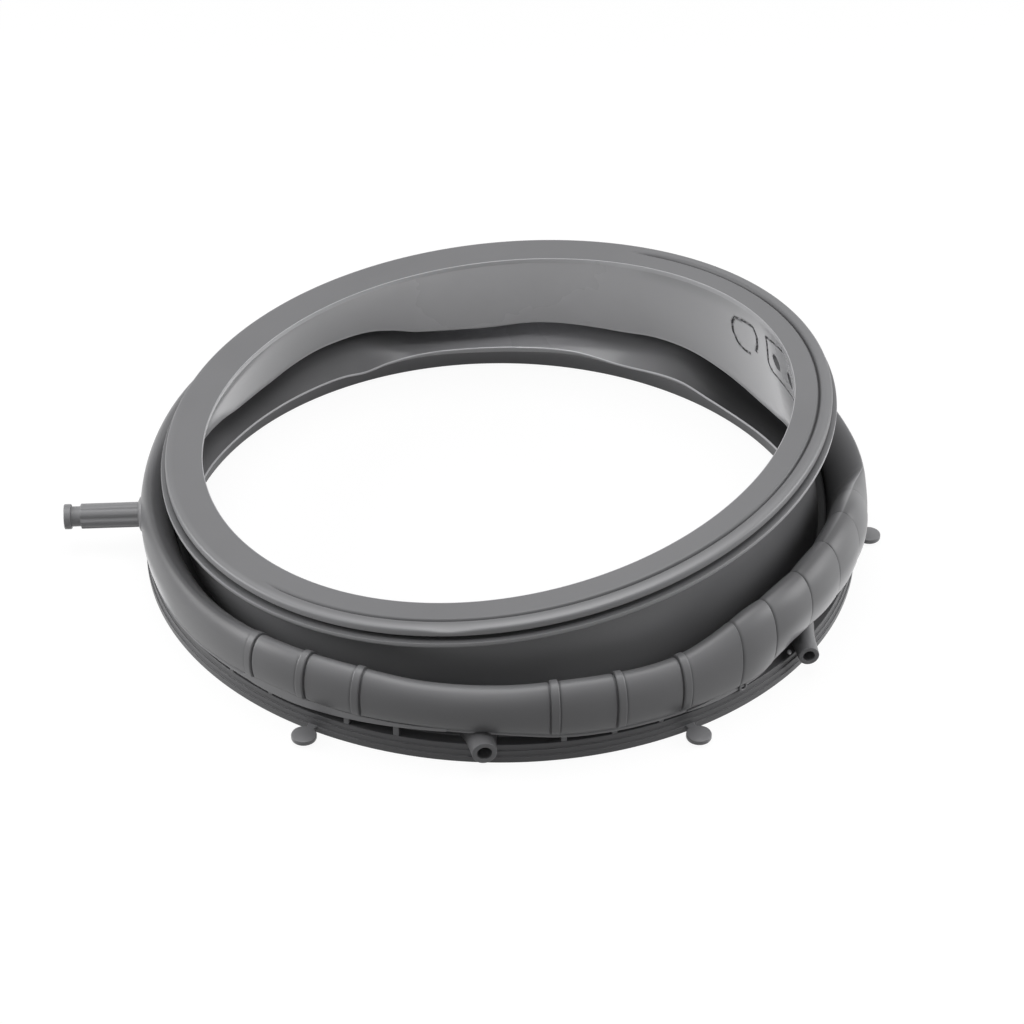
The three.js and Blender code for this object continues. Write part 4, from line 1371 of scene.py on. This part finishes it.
@dataclass
class SkirtStuds(LoftedPiece):
    """A small eyelet under the roll's edge and a round pip beside the side nozzle."""

    name: ClassVar[str] = "skirt_studs"
    eyelet_azimuth: float = 309.5
    eyelet_height: float = 14.8
    eyelet_end: float = 215.3
    eyelet_radius: float = 3.2
    eyelet_bore: float = 1.7
    pip_azimuth: float = 320.9
    pip_radius: float = 1.4
    pip_reach: float = 212.8
    pip_height: float = 14.4
    # Painted light on the pip, with real gloss from the clear coat.
    pip_light_and_gloss: float = 1.2
    sides: int = 32

    def eyelet(self) -> np.ndarray:
        """Rings of the eyelet: a short turned stub with a bore."""
        end, radius, bore, edge = self.eyelet_end, self.eyelet_radius, self.eyelet_bore, 0.5
        stops = [(end - 5.0, radius), (end - edge, radius), (end - 0.15, radius - 0.15), (end, radius - edge)]
        stops += [(end, bore + 0.3), (end - 0.3, bore), (end - 2.6, bore)]
        rings = round_profile(stops, self.sides) + np.array([0, 0, self.eyelet_height])
        return at_azimuth(rings, self.eyelet_azimuth)

    def pip(self) -> np.ndarray:
        """Rings of the pip: a ball, minus cosine along and sine across."""
        angle = np.radians(np.linspace(6.0, 174.0, 13))
        stops = [(-self.pip_radius * np.cos(turn), self.pip_radius * np.sin(turn)) for turn in angle]
        rings = round_profile(stops, self.sides) + np.array([self.pip_reach, 0, self.pip_height])
        return at_azimuth(rings, self.pip_azimuth)

    def lofts(self) -> list[np.ndarray]:
        """Eyelet and pip."""
        return [self.eyelet(), self.pip()]

    def shades(self) -> dict[Shade, tuple[float, ...]]:
        """Only the pip carries painted light with gloss."""
        return {Shade.PAINTED_LIGHT_AND_GLOSS: (0.0, self.pip_light_and_gloss)}


@dataclass
class LocatingTabs(LoftedPiece):
    """Flat round tabs on short necks at the flange's edge."""

    name: ClassVar[str] = "locating_tabs"
    section: RingSection
    azimuths: tuple[float, ...] = (-1.4, 60.0, 120.0, 240.7, 299.6)
    radius: float = 7.2
    reach: float = 9.0
    bottom: float = 1.6
    thickness: float = 3.0
    edge: float = 0.6
    neck: float = 5.2
    neck_inset: float = 0.25
    neck_overlap: float = 3.0
    # A little painted light on the tabs, with a little real gloss from the clear coat.
    painted_light_and_gloss: float = 0.12
    sides: int = 48

    def disc(self) -> np.ndarray:
        """Rings of the disc from its underside to its top, with rounded edges."""
        edge, top = self.edge, self.bottom + self.thickness
        levels = [(0.0, edge), (edge * 0.3, edge * 0.3), (edge, 0.0)]
        rows = [(self.bottom + z, self.radius - inset) for z, inset in levels]
        rows += [(top - z, self.radius - inset) for z, inset in levels[::-1]]
        height, radius = np.array(rows).T[..., None]
        angle = np.arange(self.sides)[::-1] * 2 * np.pi / self.sides
        along = self.section.flange.outer + self.reach + radius * np.cos(angle)
        return np.stack(np.broadcast_arrays(along, radius * np.sin(angle), height), axis=-1)

    def neck_rings(self) -> np.ndarray:
        """Rings of the neck, a rounded bar from inside the flange into the disc."""
        half, low, high = self.neck / 2, self.bottom + self.neck_inset, self.bottom + self.thickness - self.neck_inset
        corners = np.array([[-half, low], [half, low], [half, high], [-half, high]])
        across, height = soften(corners[None], [self.edge] * 4)[0].T
        start = self.section.flange.outer - self.neck_overlap
        along = np.array([start, start + 4.0, self.section.flange.outer + self.reach - self.neck_overlap])
        flare = np.array([1.5, 1.0, 1.0])
        return np.stack(np.broadcast_arrays(column(along), across * column(flare), height), axis=-1)

    def lofts(self) -> list[np.ndarray]:
        """A disc and a neck at each azimuth."""
        shapes = self.disc(), self.neck_rings()
        return [at_azimuth(rings, azimuth) for azimuth in self.azimuths for rings in shapes]

    def shades(self) -> dict[Shade, tuple[float, ...]]:
        """The tabs carry a little painted light with gloss."""
        return {Shade.PAINTED_LIGHT_AND_GLOSS: (self.painted_light_and_gloss,)}


@dataclass
class ClampPosts(LoftedPiece):
    """Posts across the clamp groove, from the flange up to the skirt."""

    name: ClassVar[str] = "clamp_posts"
    section: RingSection
    azimuths: tuple[float, ...] = (207.0, 216.0, 224.0, 232.4, 246.2, 254.2, 279.5, 287.3, 294.9, 308.5)
    width: float = 3.6
    reach: float = 6.8
    root_depth: float = 1.4

    def rings(self, azimuth: float) -> np.ndarray:
        """Rings of one post: a rounded rectangle carried upwards."""
        flange, half = self.section.flange, self.width / 2
        root = flange.outer - flange.groove_depth - self.root_depth
        tip = root + self.reach + self.root_depth
        corners = np.array([[root, -half], [tip, -half], [tip, half], [root, half]])
        radius, across = soften(corners[None], [0.2, 0.8, 0.8, 0.2])[0, ::-1].T
        skirt = float(self.section.roll.at("skirt", np.array([azimuth]))[0])
        heights = column([flange.height - 1.0, skirt + 1.0])
        return at_azimuth(np.stack(np.broadcast_arrays(radius, across, heights), axis=-1), azimuth)

    def lofts(self) -> list[np.ndarray]:
        """A post at each azimuth."""
        return [self.rings(azimuth) for azimuth in self.azimuths]


# ---------------------------------------------------------------------------
# Finishes
# ---------------------------------------------------------------------------


def computed(tree: bpy.types.NodeTree, operation: str, *terms: bpy.types.NodeSocket | float) -> bpy.types.NodeSocket:
    """Adds a maths node to a node tree.

    Args:
        tree: The node tree.
        operation: The node's operation, such as "ADD".
        terms: Its inputs in order: sockets to link, or numbers.

    Returns:
        The node's result.
    """
    node = tree.nodes.new("ShaderNodeMath")
    node.operation = operation
    for socket, term in zip(node.inputs, terms):
        if isinstance(term, bpy.types.NodeSocket):
            tree.links.new(term, socket)
        else:
            socket.default_value = term
    return node.outputs[0]


@dataclass(frozen=True)
class RubberFinish:
    """Grey moulded rubber: a fine grain, a soft cloudiness, and painted light and shade from the meshes' attributes:
    a lighter, glossier drum side and painted highlights along edges.
    """

    name: str
    colour: tuple[float, float, float] = (0.178, 0.178, 0.184)
    roughness: float = 0.42
    polished_roughness: float = 0.3
    # How much the painted light with gloss lightens the colour.
    painted_light_gain: float = 1.9
    coat: float = 0.8
    coat_roughness: float = 0.16
    sheen: float = 0.5
    grain_scale: float = 900.0
    grain_depth: float = 0.00004
    grain_strength: float = 0.35
    cloud_scale: float = 16.0
    cloud_tone: float = 0.2
    cloud_roughness: float = 0.2

    def noise(self, tree: bpy.types.NodeTree, scale: float, detail: float) -> bpy.types.NodeSocket:
        """Adds a noise on Object coordinates and gives its value."""
        place = tree.nodes.new("ShaderNodeTexCoord")
        noise = tree.nodes.new("ShaderNodeTexNoise")
        noise.inputs["Scale"].default_value = scale
        noise.inputs["Detail"].default_value = detail
        tree.links.new(place.outputs["Object"], noise.inputs["Vector"])
        return noise.outputs["Fac"]

    def shade(self, tree: bpy.types.NodeTree, shade: Shade) -> bpy.types.NodeSocket:
        """Adds a node that reads one of the mesh's painted light and shade attributes, which is 0 where a piece has
        none.
        """
        node = tree.nodes.new("ShaderNodeAttribute")
        node.attribute_name = shade.value
        return node.outputs["Fac"]

    def build(self) -> bpy.types.Material:
        """Makes the material.

        The tone is the colour times one plus the clouds, the painted light with gloss and the painted highlights, shade
        and tone, the first two with their amount; the last two paint light and shade into the colour. The clouds and
        the painted light with gloss also drive the roughness, the painted light with gloss brings a clear coat, the
        painted highlights, shade and tone raise or take away the sheen, and the grain is a bump.
        """
        material = bpy.data.materials.new(self.name)
        material.use_nodes = True
        tree = material.node_tree
        link, shader = tree.links.new, tree.nodes["Principled BSDF"]
        clouds = self.noise(tree, self.cloud_scale, 4.0)
        # The meshes' painted light with gloss, and their painted highlights, shade and tone.
        painted_light_and_gloss, edge = self.shade(tree, Shade.PAINTED_LIGHT_AND_GLOSS), self.shade(tree, Shade.PAINTED_LIGHT_SHADE_AND_TONE)
        cloudy = computed(tree, "MULTIPLY_ADD", clouds, self.cloud_tone, 1.0 - self.cloud_tone / 2)
        # The painted light and shade lighten or darken the colour here.
        painted_light_and_shade = computed(tree, "ADD", computed(tree, "MULTIPLY_ADD", painted_light_and_gloss, self.painted_light_gain, 1.0), edge)
        tone = tree.nodes.new("ShaderNodeVectorMath")
        tone.operation = "SCALE"
        tone.inputs[0].default_value = self.colour
        link(computed(tree, "MULTIPLY", cloudy, painted_light_and_shade), tone.inputs["Scale"])
        link(tone.outputs["Vector"], shader.inputs["Base Color"])
        even = self.roughness - self.cloud_roughness / 2
        rough = computed(tree, "MULTIPLY_ADD", clouds, self.cloud_roughness, even)
        smoother = computed(tree, "MULTIPLY", painted_light_and_gloss, self.polished_roughness - self.roughness)
        link(computed(tree, "ADD", rough, smoother), shader.inputs["Roughness"])
        link(computed(tree, "MULTIPLY", painted_light_and_gloss, self.coat), shader.inputs["Coat Weight"])
        sheen = computed(tree, "MULTIPLY_ADD", edge, self.sheen, self.sheen)
        sheen.node.use_clamp = True
        link(sheen, shader.inputs["Specular IOR Level"])
        shader.inputs["Coat Roughness"].default_value = self.coat_roughness
        bump = tree.nodes.new("ShaderNodeBump")
        bump.inputs["Strength"].default_value = self.grain_strength
        bump.inputs["Distance"].default_value = self.grain_depth
        link(self.noise(tree, self.grain_scale, 2.0), bump.inputs["Height"])
        link(bump.outputs["Normal"], shader.inputs["Normal"])
        return material


# ---------------------------------------------------------------------------
# Studio
# ---------------------------------------------------------------------------


@dataclass(frozen=True)
class Lamp:
    """A round soft lamp and the point that it looks at, both from the ring's axis on the floor, in metres."""

    name: str
    place: tuple[float, float, float]
    size: float
    power: float
    aim: tuple[float, float, float] = (0.0, 0.0, 0.04)

    def build(self, frame: RingFrame) -> bpy.types.Object:
        """Hangs the lamp; the camera doesn't see it."""
        data = bpy.data.lights.new(self.name, "AREA")
        data.shape = "DISK"
        data.size = self.size
        data.energy = self.power
        lamp = linked(self.name, data)
        lamp.location = Vector((frame.x, frame.y, frame.base)) + Vector(self.place)
        lamp.rotation_euler = (Vector(self.aim) - Vector(self.place)).to_track_quat("-Z", "Y").to_euler()
        lamp.visible_camera = False
        return lamp


LAMPS = (
    Lamp("top_lamp", (0.0, 0.0, 1.5), 1.5, 14.2),
    Lamp("left_lamp", (-1.3, 0.1, 0.55), 0.9, 11.0),
    Lamp("right_lamp", (1.3, 0.1, 0.55), 0.9, 10.7),
    Lamp("front_lamp", (0.0, -1.2, 1.0), 0.9, 1.3),
)


def seen_share(tree: bpy.types.NodeTree) -> bpy.types.NodeSocket:
    """Gives 1 for the camera's rays and for reflections, and 0 for the light that falls on surfaces."""
    path = tree.nodes.new("ShaderNodeLightPath")
    return computed(tree, "MAXIMUM", path.outputs["Is Camera Ray"], path.outputs["Is Glossy Ray"])


@dataclass(frozen=True)
class Studio:
    """Plain pale floor, soft lamps above and at both sides, and the camera at the photograph's place.

    The camera's distance is in millimetres; its focal length and offsets are in pixels of the photograph.
    """

    elevation: float = 36.06
    distance: float = 1832.74
    focal: float = 3000.0
    offset_x: float = -11.46
    offset_y: float = 22.22
    frame_size: float = 1024.0
    floor_half: float = 4.0
    floor_drop: float = 0.0002
    floor_bounce: float = 0.22
    floor_seen: float = 0.1
    floor_glow: float = 0.93
    lamps: tuple[Lamp, ...] = LAMPS

    def camera(self, frame: RingFrame) -> bpy.types.Object:
        """Makes the camera: it looks at the ring's axis from the photograph's elevation, with its small shift."""
        angle = np.radians(self.elevation)
        back = Vector((0.0, -np.cos(angle), np.sin(angle)))
        data = bpy.data.cameras.new("studio_camera")
        data.sensor_fit = "HORIZONTAL"
        data.sensor_width = 36.0
        data.lens = self.focal / self.frame_size * data.sensor_width
        data.shift_x = -self.offset_x / self.frame_size
        data.shift_y = self.offset_y / self.frame_size
        data.clip_end = 20.0
        camera = linked("studio_camera", data)
        right = Vector((1, 0, 0))
        turn = Matrix((right, back.cross(right), back)).transposed().to_4x4()
        place = Vector((frame.x, frame.y, frame.base)) + back * (self.distance * MM)
        camera.matrix_world = Matrix.Translation(place) @ turn
        bpy.context.scene.camera = camera
        return camera

    def floor(self) -> bpy.types.Object:
        """Makes the floor, one large square just under the part."""
        half = self.floor_half
        mesh = bpy.data.meshes.new("studio_floor")
        corners = [(x * half, y * half, -self.floor_drop) for x, y in ((-1, -1), (1, -1), (1, 1), (-1, 1))]
        mesh.from_pydata(corners, [], [(0, 1, 2, 3)])
        floor = linked("studio_floor", mesh)
        mesh.materials.append(self.floor_paper())
        return floor

    def floor_paper(self) -> bpy.types.Material:
        """White paper: it glows for the camera and for reflections, and keeps a faint shadow for the camera."""
        material = bpy.data.materials.new("studio_paper")
        material.use_nodes = True
        tree = material.node_tree
        nodes, link = tree.nodes, tree.links.new
        nodes.clear()
        camera_ray = nodes.new("ShaderNodeLightPath").outputs["Is Camera Ray"]
        paper = nodes.new("ShaderNodeBsdfDiffuse")
        tone = computed(tree, "MULTIPLY_ADD", camera_ray, self.floor_seen - self.floor_bounce, self.floor_bounce)
        link(tone, paper.inputs["Color"])
        glow = nodes.new("ShaderNodeEmission")
        link(computed(tree, "MULTIPLY", seen_share(tree), self.floor_glow), glow.inputs["Strength"])
        both = nodes.new("ShaderNodeAddShader")
        link(paper.outputs[0], both.inputs[0])
        link(glow.outputs[0], both.inputs[1])
        link(both.outputs[0], nodes.new("ShaderNodeOutputMaterial").inputs["Surface"])
        return material

    def sky(self) -> None:
        """Makes the world: white for the camera and for reflections, and dark for the light on surfaces."""
        world = bpy.data.worlds.new("studio_sky")
        bpy.context.scene.world = world
        world.use_nodes = True
        ground = world.node_tree.nodes["Background"]
        ground.inputs["Color"].default_value = (1.0, 1.0, 1.0, 1.0)
        world.node_tree.links.new(seen_share(world.node_tree), ground.inputs["Strength"])

    def build(self, frame: RingFrame) -> None:
        """Sets up camera, floor, world and lamps."""
        self.camera(frame)
        self.floor()
        self.sky()
        for lamp in self.lamps:
            lamp.build(frame)
        bpy.context.scene.view_settings.view_transform = "Standard"


# ---------------------------------------------------------------------------
# The whole part
# ---------------------------------------------------------------------------


def main() -> None:
    """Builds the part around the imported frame, piece by piece, and lights it."""
    logging.basicConfig(level=logging.INFO, format="%(name)s: %(message)s")
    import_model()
    frame = ring_frame()
    LOG.info("ring axis at %.6f %.6f", frame.x, frame.y)
    section = RingSection()
    rubber = RubberFinish("grey_rubber").build()
    makers = [
        OuterRing(section),
        InnerRing(section),
        Nozzles(section),
        SidePipe(),
        LocatingTabs(section),
        ClampPosts(section),
        SkirtStrips(),
        SkirtStuds(),
    ]
    for maker in makers:
        piece = maker.build(frame)
        piece.data.set_sharp_from_angle(angle=np.radians(SHARP_ANGLE))
        piece.data.materials.append(rubber)
        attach(piece, "root")
        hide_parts(CAD_NODE)
        LOG.info("%s: %d faces", piece.name, len(piece.data.polygons))
    Studio().build(frame)


if __name__ == "__main__":
    main()
